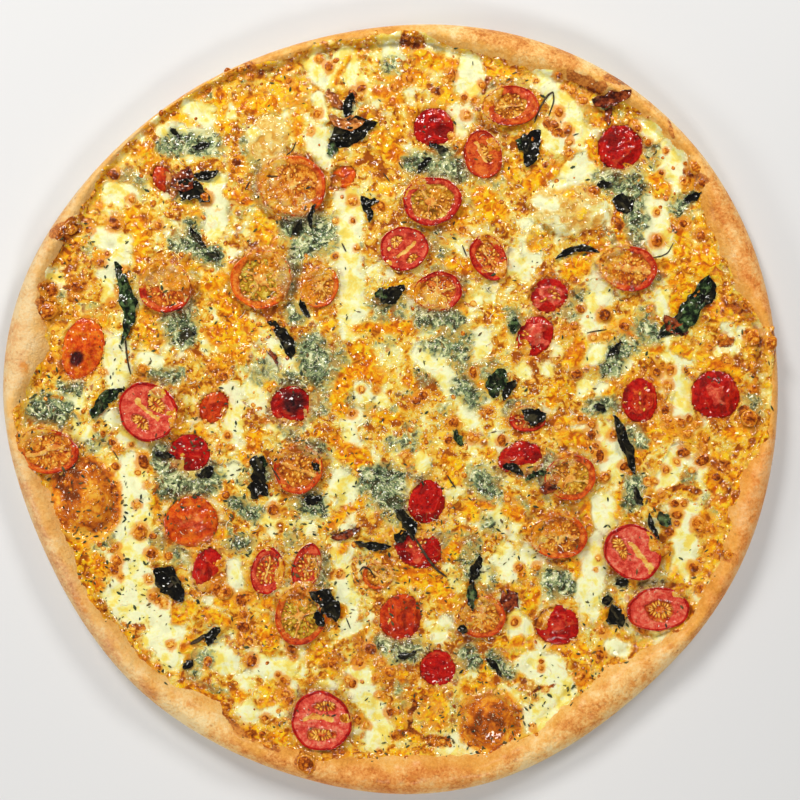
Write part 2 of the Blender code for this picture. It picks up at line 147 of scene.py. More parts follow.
# Places where the crust or the cheese on the rim is browned.
BROWNED = (
    (7, -151, 80, -144, 83), (6, -158, 47, -156, 43), (5, -157, 55, -153, 56), (5, 82, 152, 97, 146),
    (5, 100, 151, 106, 149), (6, 13, 166, 7, 167), (4, -65, 157, -58, 154), (5, 164, 33, 168, 30),
    (7, 162, -2, 165, -5), (4, 174, 34, 175, 26), (6, 148, -24, 153, -26), (4, 152, -33, 156, -38),
    (3, -73, -132, -74, -140, -69, -146, -62, -149), (7, -40, -160, -37, -163), (2, 64, -129, 74, -126),
    (2, -121, -97, -112, -100), (2, -132, -87, -130, -93), (3, 11, -134, 9, -145, 14, -150),
    (4, 17, -152, 26, -152), (3, 43, 151, 42, 145), (4, 72, 132, 78, 126), (2, 127, 131, 129, 124),
    (2, 35, 50, 42, 46, 46, 39), (4, 136, 109, 143, 104), (4, -126, 85, -124, 84), (3, -81, 20, -76, 15),
    (4, 19, 148, 24, 145), (4, -146, 56, -141, 57), (3, 128, -37, 134, -35, 141, -38),
    (6, 156, 48, 162, 44), (5, 151, 31, 157, 31), (4, -150, 80, -143, 74), (4, 150, -66, 155, -67),
    (3, 7, 4, 10, 2), (3, -25, -156, -24, -158), (3, -56, -153, -52, -155), (4, 102, 86, 105, 84),
)
# Brown blisters: x, y, radius
BLISTERS = (
    (-137, 82, 2), (-145, 82, 2.4), (-126, 85, 3), (-126, 107, 2.6), (-83, 146, 1.6), (-64, 152, 2.4),
    (-70, 113, 2.6), (-84, 96.5, 2.8), (-132, 67, 2.4), (-129, 71, 1.5), (-122, 63, 2.2), (-110, 128, 2),
    (-74, 154, 1.8), (-106, 84, 2), (-118, 96, 2), (-46, 156, 1.8), (-46, 150, 1.6), (-28, 156.5, 2.2),
    (-32, 160, 2), (-33, 135, 2), (-17, 144, 2.4), (-13, 146.5, 2), (28, 153, 2.4), (26, 150, 1.6),
    (34, 142.5, 1.6), (39, 141, 1.6), (35, 134, 2.2), (9, 151, 2.2), (42, 148, 1.8), (-17, 95, 2.4),
    (-17, 86, 1.4), (-25, 86, 1.6), (-25, 70, 1.4), (-15, 73.5, 1.4), (-4, 93, 2.4), (-36, 127, 1.6),
    (28, 125, 1.6), (33, 82, 2.2), (2, 147, 2.2), (77, 152.5, 2.3), (67, 150, 1.2), (83.5, 145.5, 2),
    (88, 141, 2.3), (77, 135.5, 2.4), (81, 127.5, 2.4), (75, 130, 2.2), (77, 126.5, 2), (82, 117, 2),
    (82, 122, 1.5), (79, 147, 1.2), (112, 131, 1.5), (113, 128, 1.6), (118, 122, 1.6), (126, 118, 1.4),
    (124, 108, 1.4), (122, 77, 3), (122, 90, 1.6), (128, 82, 1), (139, 110, 3.2), (142, 103, 2.4),
    (135, 104, 2.4), (142, 79, 2.4), (134, 85, 2.4), (104, 86, 1.6), (93, 100, 2.4), (-143, 56, 3.2),
    (-127, 48, 2.2), (-123, 54, 2), (-155, 22.5, 2.2), (-131, 17, 1.6), (-113, 18.5, 1.8), (-120, 22, 1),
    (-81, 19, 2.4), (-76, 15, 2.2), (-74, 23, 1.8), (-127, -15, 2), (-125, -18, 2), (-118, -16, 1.3),
    (-112.5, -24, 3.1), (-125.5, -26, 1.8), (-115, -29, 1.4), (-111, -34.5, 1.6), (-115.5, -43.5, 1.8),
    (-125, -50, 1.8), (-114, -56, 3.2), (-108, -58, 1.8), (-74, -12, 1.8), (-73, -17.5, 1.4),
    (-78, -17, 1.2), (-75, -39, 2.2), (-131, -12, 1), (-72, -33, 1), (-65, -25, 1.2), (-127, -36, 3),
    (-17, -2, 1.8), (-13, 9, 1.6), (-6, 9, 1.6), (-53, -46, 2.6), (12, 4, 2.4), (15, 6, 2.4), (38, 17, 2.4),
    (45, -1, 1.8), (29, -6, 2.8), (38, -13, 2.6), (51, -14, 2.4), (27, -14, 2), (7, -21, 1.8),
    (87, 46, 2), (84, 38, 2.4), (80, 36, 2), (98, 43, 3), (93, 33, 1.8), (119, 46, 2), (107, 38, 2.2),
    (122, 17, 2.4), (128, 18, 2.2), (135, 18, 1.4), (127, 11, 2), (85, 16, 2.4), (87, -4, 2), (77, -8, 1.5),
    (92, -7, 1.8), (92, -11.5, 2.6), (102, -11.5, 2.3), (94, -16.5, 1.9), (96, -21, 2.6), (107, -26, 2.2),
    (98, -31, 2.2), (126, 0, 2.6), (127, -5, 2.2), (133, -6, 2.5), (136.5, -4.5, 1.8), (140, -7, 2),
    (136, -11, 2.2), (144, -14, 1.9), (144, -18, 1.9), (143, -23, 3.1), (134, -19.5, 2.6), (131, -24, 1.6),
    (126, -27.5, 2), (138, -28, 1.6), (118, -33, 2), (121, -33, 1.4), (124, -39, 2), (130, -43, 1.9),
    (134, -43, 1.9), (131, -48, 2.6), (141, -52.5, 3.4), (131, -52, 1.6), (127.5, -56, 2.2), (147, -55, 2),
    (152, 33, 1.8), (146, 28, 2), (155, 50, 1.8), (162, 47, 1.8), (154, 22, 1.8), (166, 9, 2.2),
    (-125, -63, 1.8), (-124.5, -69, 2.4), (-125.5, -73, 2.7), (-123, -76.5, 1.5), (-109, -66, 2.6),
    (-110, -77.5, 1.8), (-108, -85, 2.3), (-106, -87, 2), (-103, -89, 2), (-79, -82, 2.7), (-75, -84, 2.9),
    (-68, -87, 2.8), (-65, -86, 2), (-67, -94, 2.3), (-67, -99.5, 2.8), (-68, -106.5, 2), (-64, -106, 2.2),
    (-63, -115, 2.8), (-101, -67, 2), (-106, -118, 1.6), (-112, -114, 1.6), (-83, -115, 2.2),
    (-100, -107, 1.8), (-45, -109, 2.4), (-44, -113, 1.4), (-26, -115.5, 2.6), (-14, -116, 2.3),
    (-9, -109.5, 3.1), (-14, -104.5, 1.8), (-4, -116, 2.2), (0, -120, 2.5), (-6, -123, 1.8), (-19, -123, 2),
    (-17, -125, 2), (-36, -124, 1.4), (-48, -124, 2), (-51, -121, 1.4), (-48, -130, 2.6), (-46, -133, 2.2),
    (-5, -130.5, 1.7), (0, -138, 2.2), (-15, -141.5, 2.2), (-11, -144, 1.9), (-57, -141, 1.8),
    (-56, -153, 2.4), (-25, -155, 2.4), (-22, -157, 2), (-38, -161, 4), (2, -149, 1.8), (57, -97, 2),
    (59, -72.5, 2), (-23, -75, 1.8), (54, -41, 1.8), (67, -72, 2), (69, -115, 1.2), (69, -118, 1.4),
    (97, -101, 2.2), (96, -112, 2.2), (87, -122, 2.4), (139, -72, 2.4), (142, -69, 1.4), (142, -82, 2.4),
    (154, -66, 2.4), (126, -64, 1.8), (95, -68, 1.2), (94, -73, 1), (115, -100, 2.4), (65, -145, 1.4),
    (67, -148, 1.2), (71, -127.5, 1.4), (166, 33, 3.6), (164, -4, 3.8), (173, 30, 3), (-157, 45, 4.6),
    (-155, 54, 3.6), (149, -31, 2.2), (154, -28, 1.6), (24, -152, 2), (20, -152, 1.6), (-5, -157, 1.5),
)
# Soft domes raised under the cheese: x, y, length, width, turn, height
MOUNDS = (
    (-55, 123, 25, 21, 60, 3.4), (81, 91, 38, 24, -8, 4.4), (12, 163, 17, 13, -10, 2.0),
    (118, 127, 22, 12, 0, 1.4), (20, -141, 17, 22, 0, 1.2), (-67, -139, 13, 16, 0, 1.4),
    (170, 31, 9, 12, 0, 1.6), (72, -127, 24, 34, -15, 1.6), (104, -108, 11, 9, 0, 1.6),
    (164, -4, 9, 9, 0, 1.5),
)
# The two dough bubbles of the rim: x, y, length, width, turn, top
DOUGH_BUBBLES = (
    (-139.5, -40.0, 36.5, 29.0, 105, 18.8),
    (45.5, -142.0, 27.0, 26.0, 0, 17.8),
)
# Their browner places: x, y, length, width, turn
ROASTED = ((-145.0, -33.0, 22.0, 16.0, 60), (45.0, -143.0, 18.0, 17.0, 0))

# One row per tomato half: pattern, direction of its core, redness to orange, pinkness of its flesh,
# greenness of its gel, share hidden under cheese, the side where the cheese lies, and its scorch
# (x, y, radius from its middle, or none)
TOMATOES = (
    ("gel", 0, 0.80, 0.2, 0.2, 0.80, 200, None), ("skin", 0, 0.95, 0.0, 0.0, 0.20, 250, None),
    ("skin", 0, 0.08, 0.2, 0.0, 0.10, 215, None), ("oval", 8, 0.35, 0.3, 0.4, 0.26, 200, None),
    ("bar", -52, 0.40, 0.1, 0.0, 0.10, -20, None), ("gel", -40, 0.15, 0.5, 0.6, 0.22, 120, None),
    ("skin", 30, 0.04, 0.0, 0.0, 0.0, 0, None), ("gel", 0, 0.30, 0.3, 0.2, 0.72, 90, None),
    ("skin", 80, 1.05, 0.0, 0.0, 0.05, 180, (-2.5, -4.5, 3.9)), ("bar", -45, 0.02, 0.8, 0.0, 0.08, 30, None),
    ("gel", 60, 1.0, 0.0, 1.0, 0.46, 60, None), ("gel", 40, 0.55, 0.3, 0.3, 0.66, 140, None),
    ("bar", 40, 0.06, 0.6, 0.1, 0.06, 150, None), ("skin", 0, 0.15, 0.0, 0.0, 0.16, 270, (1.0, 1.5, 5.6)),
    ("skin", 60, 0.46, 0.0, 0.0, 0.0, 0, None), ("gel", 0, 0.10, 0.5, 0.2, 0.52, 250, None),
    ("oval", -60, 0.20, 0.3, 0.3, 0.30, 10, None), ("mush", 0, 0.04, 0.8, 0.0, 0.10, 100, None),
    ("mush", 60, 0.02, 0.8, 0.0, 0.14, 200, None), ("bar", -10, 0.40, 0.3, 0.2, 0.50, 185, None),
    ("mush", 90, 0.06, 0.1, 0.0, 0.20, 155, None), ("skin", 80, 0.12, 0.7, 0.0, 0.0, 0, None),
    ("bar", 12, 0.50, 0.0, 0.1, 0.24, 120, None), ("skin", 0, 0.06, 0.0, 0.0, 0.16, 225, None),
    ("skin", 30, 0.75, 0.6, 0.0, 0.16, -45, None), ("bar", -20, 0.45, 0.3, 0.2, 0.36, 100, None),
    ("oval", 80, 0.02, 0.5, 0.0, 0.20, -20, None), ("oval", 75, 0.02, 0.5, 0.0, 0.26, -20, None),
    ("skin", 85, 0.16, 0.3, 0.0, 0.28, 300, None), ("gel", 0, 0.10, 0.3, 0.1, 0.24, 90, None),
    ("skin", 15, 0.06, 0.0, 0.0, 0.20, -90, None), ("gel", -30, 0.55, 0.1, 0.6, 0.30, 140, None),
    ("gel", 0, 0.65, 0.1, 0.3, 0.36, 120, None), ("skin", 75, 0.04, 0.3, 0.0, 0.12, 120, None),
    ("mush", -10, 0.0, 0.4, 0.0, 0.22, 90, None), ("bar", -30, 0.60, 0.1, 0.3, 0.52, 45, None),
    ("skin", 90, 0.45, 0.0, 0.0, 0.10, 200, None), ("bar", -52, 0.10, 0.9, 0.0, 0.0, 0, None),
    ("oval", 0, 0.12, 0.9, 0.0, 0.0, 0, None), ("gel", 100, 0.60, 0.3, 1.0, 0.24, 90, None),
    ("bar", 3, 0.04, 0.9, 0.0, 0.0, 0, None), ("gel", 0, 0.55, 0.2, 0.3, 0.48, 135, None),
    ("skin", 0, 0.0, 0.5, 0.0, 0.26, 100, None), ("skin", 0, 0.0, 0.0, 0.0, 0.0, 0, None),
    ("skin", -60, 0.45, 0.0, 0.0, 0.0, 0, None),
)
# Fleshy tomato halves: their seed pockets (x, y, length, width, turn) and the line of their core,
# in shares of the half's mean radius
POCKETS = {
    5: (((0.15, 0.05, 1.0, 0.34, -60),), (-0.35, 0.50, 0.20, -0.30)),
    10: (((0.25, 0.25, 0.9, 0.5, -45), (-0.25, -0.35, 0.8, 0.4, -45)), (-0.35, 0.35, 0.30, -0.30)),
    13: (((-0.35, 0.32, 0.7, 0.5, 40), (0.35, -0.38, 0.55, 0.35, 40)), (-0.25, -0.30, 0.45, 0.30)),
    38: (((-0.42, 0.15, 1.0, 0.42, -62),), (-0.05, 0.35, 0.62, -0.62)),
    39: (((0.08, -0.02, 1.15, 0.80, 0),), None),
    41: (((0.0, -0.46, 0.96, 0.50, 0), (0.15, 0.50, 0.80, 0.40, 10)), (-0.60, 0.08, 0.30, 0.12)),
}
# Further leaf pieces: x, y, length, width, turn, curl, look
LEAF_PIECES = (
    (-19, 138, 13, 4, 80, 2.0, "black"), (-18, 125, 20, 4, 15, 1.5, "black"),
    (-20, 130.5, 17, 6, -8, 2.5, "caramel"), (-25.5, 141, 12, 4.4, -52, 2.0, "caramel"),
    (-26.5, 119, 7, 5, 85, 1.0, "green"), (-99.5, 102.5, 14, 4.4, -78, 2.2, "caramel"),
    (-94.5, 105, 13, 8, 50, 2.4, "rust"), (-84, 107, 12, 4, 10, 1.6, "black"),
    (-10, 92, 13, 4, -72, 1.4, "black"), (-9, 95, 8, 3, 10, 1.2, "black"),
    (98, 103, 7, 3.4, -5, 1.0, "black"), (107, 94, 10, 8, -60, 1.2, "black"),
    (85, 73, 21, 3, 8, 0.9, "black"), (101, 140.5, 19, 6, 12, 1.6, "rust"),
    (99.5, 134, 9, 3, 80, 1.0, "rust"), (-8, -62.5, 17, 3.6, 172, 1.6, "black"),
    (-28.5, -88, 19, 8.5, -48, 2.2, "black"), (-32, -95, 8, 4, -60, 1.2, "black"),
    (65.5, -3, 12, 6.5, -10, 1.8, "black"), (56.5, -27, 11, 4, -25, 1.6, "black"),
    (67, -29, 12, 2.4, 15, 1.0, "green"), (8, -52, 16, 5.5, -60, 1.4, "black"),
    (39.5, -73, 14, 4, 70, 1.8, "black"), (37, -85, 13, 3.6, 88, 1.2, "green"),
    (125, -50, 8, 6, -50, 1.6, "green"), (119.5, -54, 13, 2.6, -68, 1.0, "black"),
    (-81, -103, 10, 5, 55, 1.6, "black"), (103, -94, 11, 7, -65, 1.4, "black"),
    (99, -87, 5, 4, 20, 0.8, "black"), (31, -13, 8, 3.4, -65, 1.0, "green"),
    (-58.5, -24, 6, 5, 90, 1.0, "green"), (-3.5, 52.5, 7, 4.6, 5, 0.8, "green"),
    (54, 9, 11, 4.5, 60, 1.4, "black"), (-92, -116.5, 5.5, 4, 40, 0.9, "black"),
    (57, 38, 7, 4.6, 80, 0.8, "green"), (-39.5, 46, 10, 3, -60, 1.0, "black"),
    (-53, 24, 9, 2.4, -55, 0.8, "rust"), (54.5, -87, 10, 8.5, 30, 1.8, "rust"),
    (-20, -57, 14, 3.6, 18, 1.6, "rust"), (130, 37.5, 14, 6, -35, 1.4, "rust"),
    (145.5, 53, 15, 5.5, 74, 1.6, "black"), (72, -36, 8, 5, 10, 1.4, "rust"),
    (33, -100, 4.5, 4, 0, 1.0, "black"), (61, 122, 8, 6, 70, 0.9, "green"),
    (106, -79, 6, 4, 10, 0.7, "black"), (-36, 88, 11, 2.2, 80, 0.8, "black"),
    (-42, 83, 8, 3.4, 60, 0.8, "black"), (-88, 78, 11, 2.4, -52, 0.7, "black"),
    (-81, 70, 7, 4, -10, 0.9, "green"), (-98, 126, 6, 2.4, -50, 0.8, "black"),
    (-86, 120, 8, 3.4, 10, 0.8, "black"), (15, 112, 9, 3, 50, 0.7, "black"),
    (22, 119.5, 9, 3.4, -20, 0.8, "black"), (5, -58, 7, 5, 40, 1.2, "black"),
    (8, -112.5, 9, 3, 15, 0.8, "black"), (-62, -37, 8, 5, 100, 1.2, "black"),
    (103, 27, 9, 3.4, 45, 0.8, "black"), (96, 1, 6, 3, -20, 0.7, "black"),
    (138, 97, 8, 4, 30, 0.8, "black"), (113, -40, 9, 3, -70, 0.7, "black"),
    (-103, -21, 9, 3, -10, 0.8, "black"), (-84, -29, 8, 4.5, 30, 0.8, "black"),
    (-92, 34, 8, 4, 10, 0.8, "black"), (48, -117, 11, 2.6, -50, 0.7, "black"),
    (-35, -41, 8, 5, 10, 1.0, "black"), (-34, -26, 5, 3, -50, 0.8, "black"),
)
LEAF_LOOKS = {1: "black", 2: "black", 3: "black", 4: "green", 5: "green", 6: "black", 7: "black",
              8: "green", 9: "green", 10: "black", 11: "black", 12: "black"}
# How much wider than its node a leaf is, where this is not the usual 1.5
LEAF_WIDTHS = {6: 0.9, 9: 1.1}
# Thin stalks: radius, then the points they run through
STALKS = (
    (0.5, 66, 131, 68, 137, 72, 143.5, 74.5, 145), (0.35, 74.5, 145, 75, 141, 72.5, 134),
    (0.45, -120.5, 32, -120, 24, -118.5, 16), (0.6, 11, -58, 16, -66, 21, -73, 26, -76.5),
    (0.3, 119, 69, 124, 70, 127, 71.5, 129.5, 76), (0.4, -14, -74, -12, -71.5, -9, -73, -7, -77),
    (0.8, -105, -83.5, -101, -81, -98.5, -79), (1.0, -91, -107, -87, -105, -84, -102.5),
    (0.3, -46, 116, -44, 119, -43, 122), (0.35, -47, 115.5, -45, 117.5), (0.3, 90, 35, 95, 36, 99, 36.5),
    (0.35, 4, 113, 6, 110), (0.3, -3, 108, 0, 104), (0.35, 33, 75, 35, 70), (0.4, -22, 76, -20, 72),
    (0.35, -64, 104, -66, 100), (0.3, -56, 106, -51, 106), (0.3, -127, -18, -124, -23),
    (0.3, -20, -95, -18, -100), (0.4, -54, -26, -50, -32), (0.35, 26, -30, 30, -36),
)
# Cheese that has run up over the rim
RIM_CHEESE = (
    (15, 158, 44, 166, 30), (10, 171, 33, 175, 27), (9, 160, -6, 169, -12), (12, 6, 164, 20, 161),
    (8, -152, 81, -143, 84), (9, -160, 45, -156, 53), (9, 152, -26, 156, -40), (10, -62, 151, -54, 153),
    (12, 141, 70, 147, 62), (9, -26, -152, -38, -160),
)

# Radius of the cheese's edge every 5 degrees, from -180 degrees on
CHEESE_EDGE = (
    171, 168, 163, 160, 160, 159, 160, 160, 159, 161, 160, 157, 156, 161, 162, 160, 160, 159,
    159, 157, 160, 164, 161, 161, 157, 155, 154, 157, 163, 167, 165, 166, 163, 161, 163, 169,
    173, 174, 177, 170, 167, 167, 167, 172, 178, 178, 177, 175, 173, 169, 167, 167, 167, 171,
    171, 169, 170, 166, 167, 171, 171, 171, 171, 171, 170, 168, 167, 168, 168, 162, 159, 163,
)

# ---------------------------------------------------------------- numbers of the small things
GRID_STEP = 0.97
SMALL_BLISTERS = 820
FLECKS = 2200
CRUMBS = 7000
THREADS = 240
TAU = math.tau
LAMP_COLOUR = (1.0, 0.968, 0.90)
# Each lamp: name, direction and tilt from straight above in degrees, distance, size (m) and power
LAMPS = (
    ("key_lamp", 118, 44, 1.25, 0.34, 8.7), ("second_lamp", 52, 48, 1.25, 0.30, 6.0),
    ("left_lamp", 196, 55, 1.25, 0.30, 3.8), ("front_lamp", -78, 46, 1.25, 0.28, 4.4),
)


# ---------------------------------------------------------------- noise and masks
def smooth(low, high, value):
    """Return 0 at low, 1 at high and a smooth step between them."""
    share = np.clip((value - low) / (high - low), 0.0, 1.0)
    return share * share * (3.0 - 2.0 * share)


@functools.cache
def chance_table(seed):
    """Return a square of seeded numbers from -1 to 1."""
    return np.random.default_rng(seed).uniform(-1.0, 1.0, (256, 256))


def lumps(x, y, size, seed):
    """Return smooth noise from -1 to 1 whose lumps are about size across."""
    table = chance_table(seed)
    u = np.asarray(x, float) / size + 1000.0
    v = np.asarray(y, float) / size + 1000.0
    i = np.floor(u).astype(int)
    j = np.floor(v).astype(int)
    a = smooth(0.0, 1.0, u - i)
    b = smooth(0.0, 1.0, v - j)
    i0, i1, j0, j1 = i % 256, (i + 1) % 256, j % 256, (j + 1) % 256
    low = table[i0, j0] * (1 - a) + table[i1, j0] * a
    high = table[i0, j1] * (1 - a) + table[i1, j1] * a
    return low * (1 - b) + high * b


def rough(x, y, size, seed, octaves=3):
    """Return noise from -1 to 1 with finer and finer lumps."""
    total = 0.0
    for octave in range(octaves):
        total = total + lumps(x, y, size / 2 ** octave, seed + octave) * 0.5 ** octave
    return total / (2.0 - 0.5 ** (octaves - 1))


def cells(x, y, size, seed):
    """Return the distance to the nearest of scattered points, in shares of size, and its chance value."""
    table = np.random.default_rng(seed).random((256, 256, 3))
    u = x / size + 1000.0
    v = y / size + 1000.0
    i = np.floor(u).astype(int)
    j = np.floor(v).astype(int)
    nearest = np.full(np.shape(u), 9.0)
    value = np.zeros(np.shape(u))
    for across in (-1, 0, 1):
        for along in (-1, 0, 1):
            point = table[(i + across) % 256, (j + along) % 256]
            away = np.hypot(u - i - across - point[..., 0], v - j - along - point[..., 1])
            value = np.where(away < nearest, point[..., 2], value)
            nearest = np.minimum(nearest, away)
    return nearest, value


def line_distance(x, y, points):
    """Return how far each place is from a line through points given as x, y, x, y and so on."""
    corners = np.reshape(points, (-1, 2)).astype(float)
    nearest = np.full(np.shape(x), np.inf)
    for start, end in zip(corners[:-1], corners[1:]):
        along = end - start
        share = ((x - start[0]) * along[0] + (y - start[1]) * along[1]) / (along @ along)
        share = np.clip(share, 0.0, 1.0)
        away = np.hypot(x - start[0] - share * along[0], y - start[1] - share * along[1])
        nearest = np.minimum(nearest, away)
    return nearest


def streaks(x, y, table, soft):
    """Return how far inside the listed streaks each place is, 0 to 1."""
    mask = np.zeros(np.shape(x))
    for width, *points in table:
        mask = np.maximum(mask, smooth(soft, -soft, line_distance(x, y, points) - width / 2.0))
    return mask


def oval_share(x, y, oval):
    """Return 0 at an oval's middle and 1 at its edge; the oval is x, y, length, width, turn."""
    turn = math.radians(oval[4])
    along = (x - oval[0]) * math.cos(turn) + (y - oval[1]) * math.sin(turn)
    across = (y - oval[1]) * math.cos(turn) - (x - oval[0]) * math.sin(turn)
    return np.hypot(along * 2.0 / oval[2], across * 2.0 / oval[3])


# ---------------------------------------------------------------- what the frame says
def node_points(name):
    """Return a CAD node's points in millimetres."""
    mesh = NODES[name].data
    points = np.empty(len(mesh.vertices) * 3)
    mesh.vertices.foreach_get("co", points)
    return points.reshape(-1, 3) / MM


def round_line(points, farthest):
    """Return radius by angle of the farthest or nearest points, with the polygon's corners eased."""
    turns = np.arctan2(points[:, 1], points[:, 0])
    radii = np.hypot(points[:, 0], points[:, 1])
    slots = np.round(turns / TAU * 64).astype(int) % 64
    chosen = []
    for number in range(64):
        members = np.flatnonzero(slots == number)
        if len(members):
            order = radii[members] if farthest else -radii[members]
            chosen.append(members[np.argmax(order)])
    dense = np.interp(RIM_ANGLES, turns[chosen], radii[chosen], period=TAU)
    for _ in range(10):
        dense = (np.roll(dense, -4) + 2.0 * dense + np.roll(dense, 4)) / 4.0
    return dense


RIM_ANGLES = np.linspace(-math.pi, math.pi, 721)[:-1]
CRUST_POINTS = node_points("crust")
AT_CHEESE = np.abs(CRUST_POINTS[:, 2] - CHEESE_LEVEL) < 0.05
AT_CHEESE &= np.hypot(CRUST_POINTS[:, 0], CRUST_POINTS[:, 1]) > 100.0
OUTER = round_line(CRUST_POINTS, True)
EDGE = np.interp(RIM_ANGLES, np.radians(np.arange(-180, 180, 5)), CHEESE_EDGE, period=TAU)
INNER = np.minimum(round_line(CRUST_POINTS[AT_CHEESE], True), EDGE - 2.0)


def rim_at(x, y):
    """Return each place's distance from the middle, and the cheese's and the crust's radius there."""
    turns = np.arctan2(y, x)
    inner = np.interp(turns, RIM_ANGLES, INNER, period=TAU)
    outer = np.interp(turns, RIM_ANGLES, OUTER, period=TAU)
    return np.hypot(x, y), inner, outer


def crust_top(x, y):
    """Return the height of the dough's top: floor, inner slope, crest, outer fall and bubbles."""
    radius, inner, outer = rim_at(x, y)
    width = outer - inner
    crest = NARROW_CREST + (RIM_CREST - NARROW_CREST) * np.minimum(width / FULL_CREST_WIDTH, 1.0)
    share = np.clip((radius - inner) / width, -1.0, 1.0)
    climb = np.sin(np.clip(share * 2.0, 0.0, 1.0) * math.pi / 2.0) ** 0.9
    slope = CHEESE_LEVEL + (crest - CHEESE_LEVEL) * climb
    under = np.maximum(CHEESE_LEVEL + 1.3 * (radius - inner), FLOOR_LEVEL)
    fall = np.sqrt(1.0 - np.clip(share * 2.0 - 1.0, 0.0, 1.0) ** 2)
    side = 0.42 * crest + 0.58 * crest * fall
    height = np.where(share < 0.0, under, np.where(share < 0.5, slope, side))
    waves = 0.55 * rough(x, y, 17.0, 11) + 0.40 * rough(x, y, 5.0, 14, 2) + 0.22 * rough(x, y, 2.4, 16, 2)
    height = height + waves * smooth(0.0, 0.2, share) * smooth(1.0, 0.85, share)
    for bubble in DOUGH_BUBBLES:
        away = oval_share(x, y, bubble)
        dome = np.clip(1.0 - away ** 2, 0.0, 1.0) ** 0.62
        top = bubble[5] + 0.35 * rough(x, y, 6.0, 17) - 0.9
        height = height + (top - height) * dome
    return height


# ---------------------------------------------------------------- tomatoes
def measure(name):
    """Return where a node lies: middle, half length and width, turn, base, top and slope of its top."""
    points = node_points(name)
    middle = (points.min(0) + points.max(0)) / 2.0
    flat = points[:, :2] - middle[:2]
    axes = np.linalg.eigh(flat.T @ flat)[1]
    extent = np.abs(flat @ axes).max(0)
    slope = np.linalg.lstsq(flat, points[:, 2] - points[:, 2].mean(), rcond=None)[0]
    tilt = np.abs(flat @ slope).max()
    return {
        "x": middle[0], "y": middle[1], "long": extent[1], "wide": extent[0],
        "turn": math.atan2(axes[1, 1], axes[0, 1]), "base": points[:, 2].min(),
        "top": points[:, 2].max() - 0.9 * tilt, "slope": slope,
    }


def tomato_list():
    """Return every tomato half with its place from the frame and its look from the table."""
    halves = []
    for number, look in enumerate(TOMATOES, start=1):
        half = measure(f"tomato_half_{number:02d}")
        half["number"] = number
        half["kind"], direction, half["orange"], half["pink"], half["olive"] = look[:5]
        half["cover"], cover_side, half["scorch"] = look[5:]
        half["pattern"] = math.radians(direction)
        half["cover_side"] = math.radians(cover_side)
        chance = np.random.default_rng(700 + number)
        half["uneven"] = chance.uniform(0.0, TAU, 3)
        halves.append(half)
    return halves


def half_place(half, x, y):
    """Return each place's share of the way from a half's middle to its edge."""
    dx = x - half["x"]
    dy = y - half["y"]
    cosine, sine = math.cos(half["turn"]), math.sin(half["turn"])
    u = (dx * cosine + dy * sine) / half["long"]
    v = (dy * cosine - dx * sine) / half["wide"]
    turn = np.arctan2(v, u)
    first, second, third = half["uneven"]
    edge = 0.99 + 0.018 * np.cos(2 * turn + first) + 0.022 * np.cos(3 * turn + second)
    edge = edge + 0.012 * np.cos(7 * turn + third)
    return np.hypot(u, v) / edge


def inner_pattern(half, x, y, share):
    """Return how hollow and how much core each place of a cut face is, from 0 to 1."""
    size = math.sqrt(half["long"] * half["wide"])
    seed = 900 + 5 * half["number"]
    dx = (x - half["x"]) / size + 0.15 * rough(x, y, 5.0, seed)
    dy = (y - half["y"]) / size + 0.15 * rough(x, y, 5.0, seed + 2)
    if half["number"] in POCKETS:
        pockets, core_line = POCKETS[half["number"]]
        hollow = np.zeros_like(dx)
        for pocket in pockets:
            hollow = np.maximum(hollow, smooth(1.05, 0.85, oval_share(dx, dy, pocket)))
        core = np.zeros_like(dx) if core_line is None else smooth(0.10, 0.05, line_distance(dx, dy, core_line))
        return hollow * (1.0 - core), core
    cosine, sine = math.cos(half["pattern"]), math.sin(half["pattern"])
    p = dx * cosine + dy * sine
    q = dy * cosine - dx * sine
    inside = smooth(0.80, 0.70, share + 0.10 * rough(x, y, 4.0, seed + 3, 2))
    kind = half["kind"]
    if kind == "bar":
        core = smooth(0.13, 0.06, np.abs(q)) * smooth(0.86, 0.7, share)
        return inside * (1.0 - core), core
    if kind == "oval":
        ring = np.hypot(p / 0.78, q / 0.55)
        core = smooth(0.07, 0.03, np.abs(q)) * smooth(0.8, 0.6, ring)
        return smooth(1.0, 0.85, ring) * (1.0 - core), core
    turn = np.arctan2(q, p) + 0.5 * lumps(x, y, 8.0, seed + 4)
    spoke = np.abs(np.sin(turn * 2.0)) * np.hypot(p, q)
    core = np.maximum(smooth(0.10, 0.04, spoke), smooth(0.24, 0.14, np.hypot(p, q)))
    core = core * inside
    return inside * (1.0 - core), core


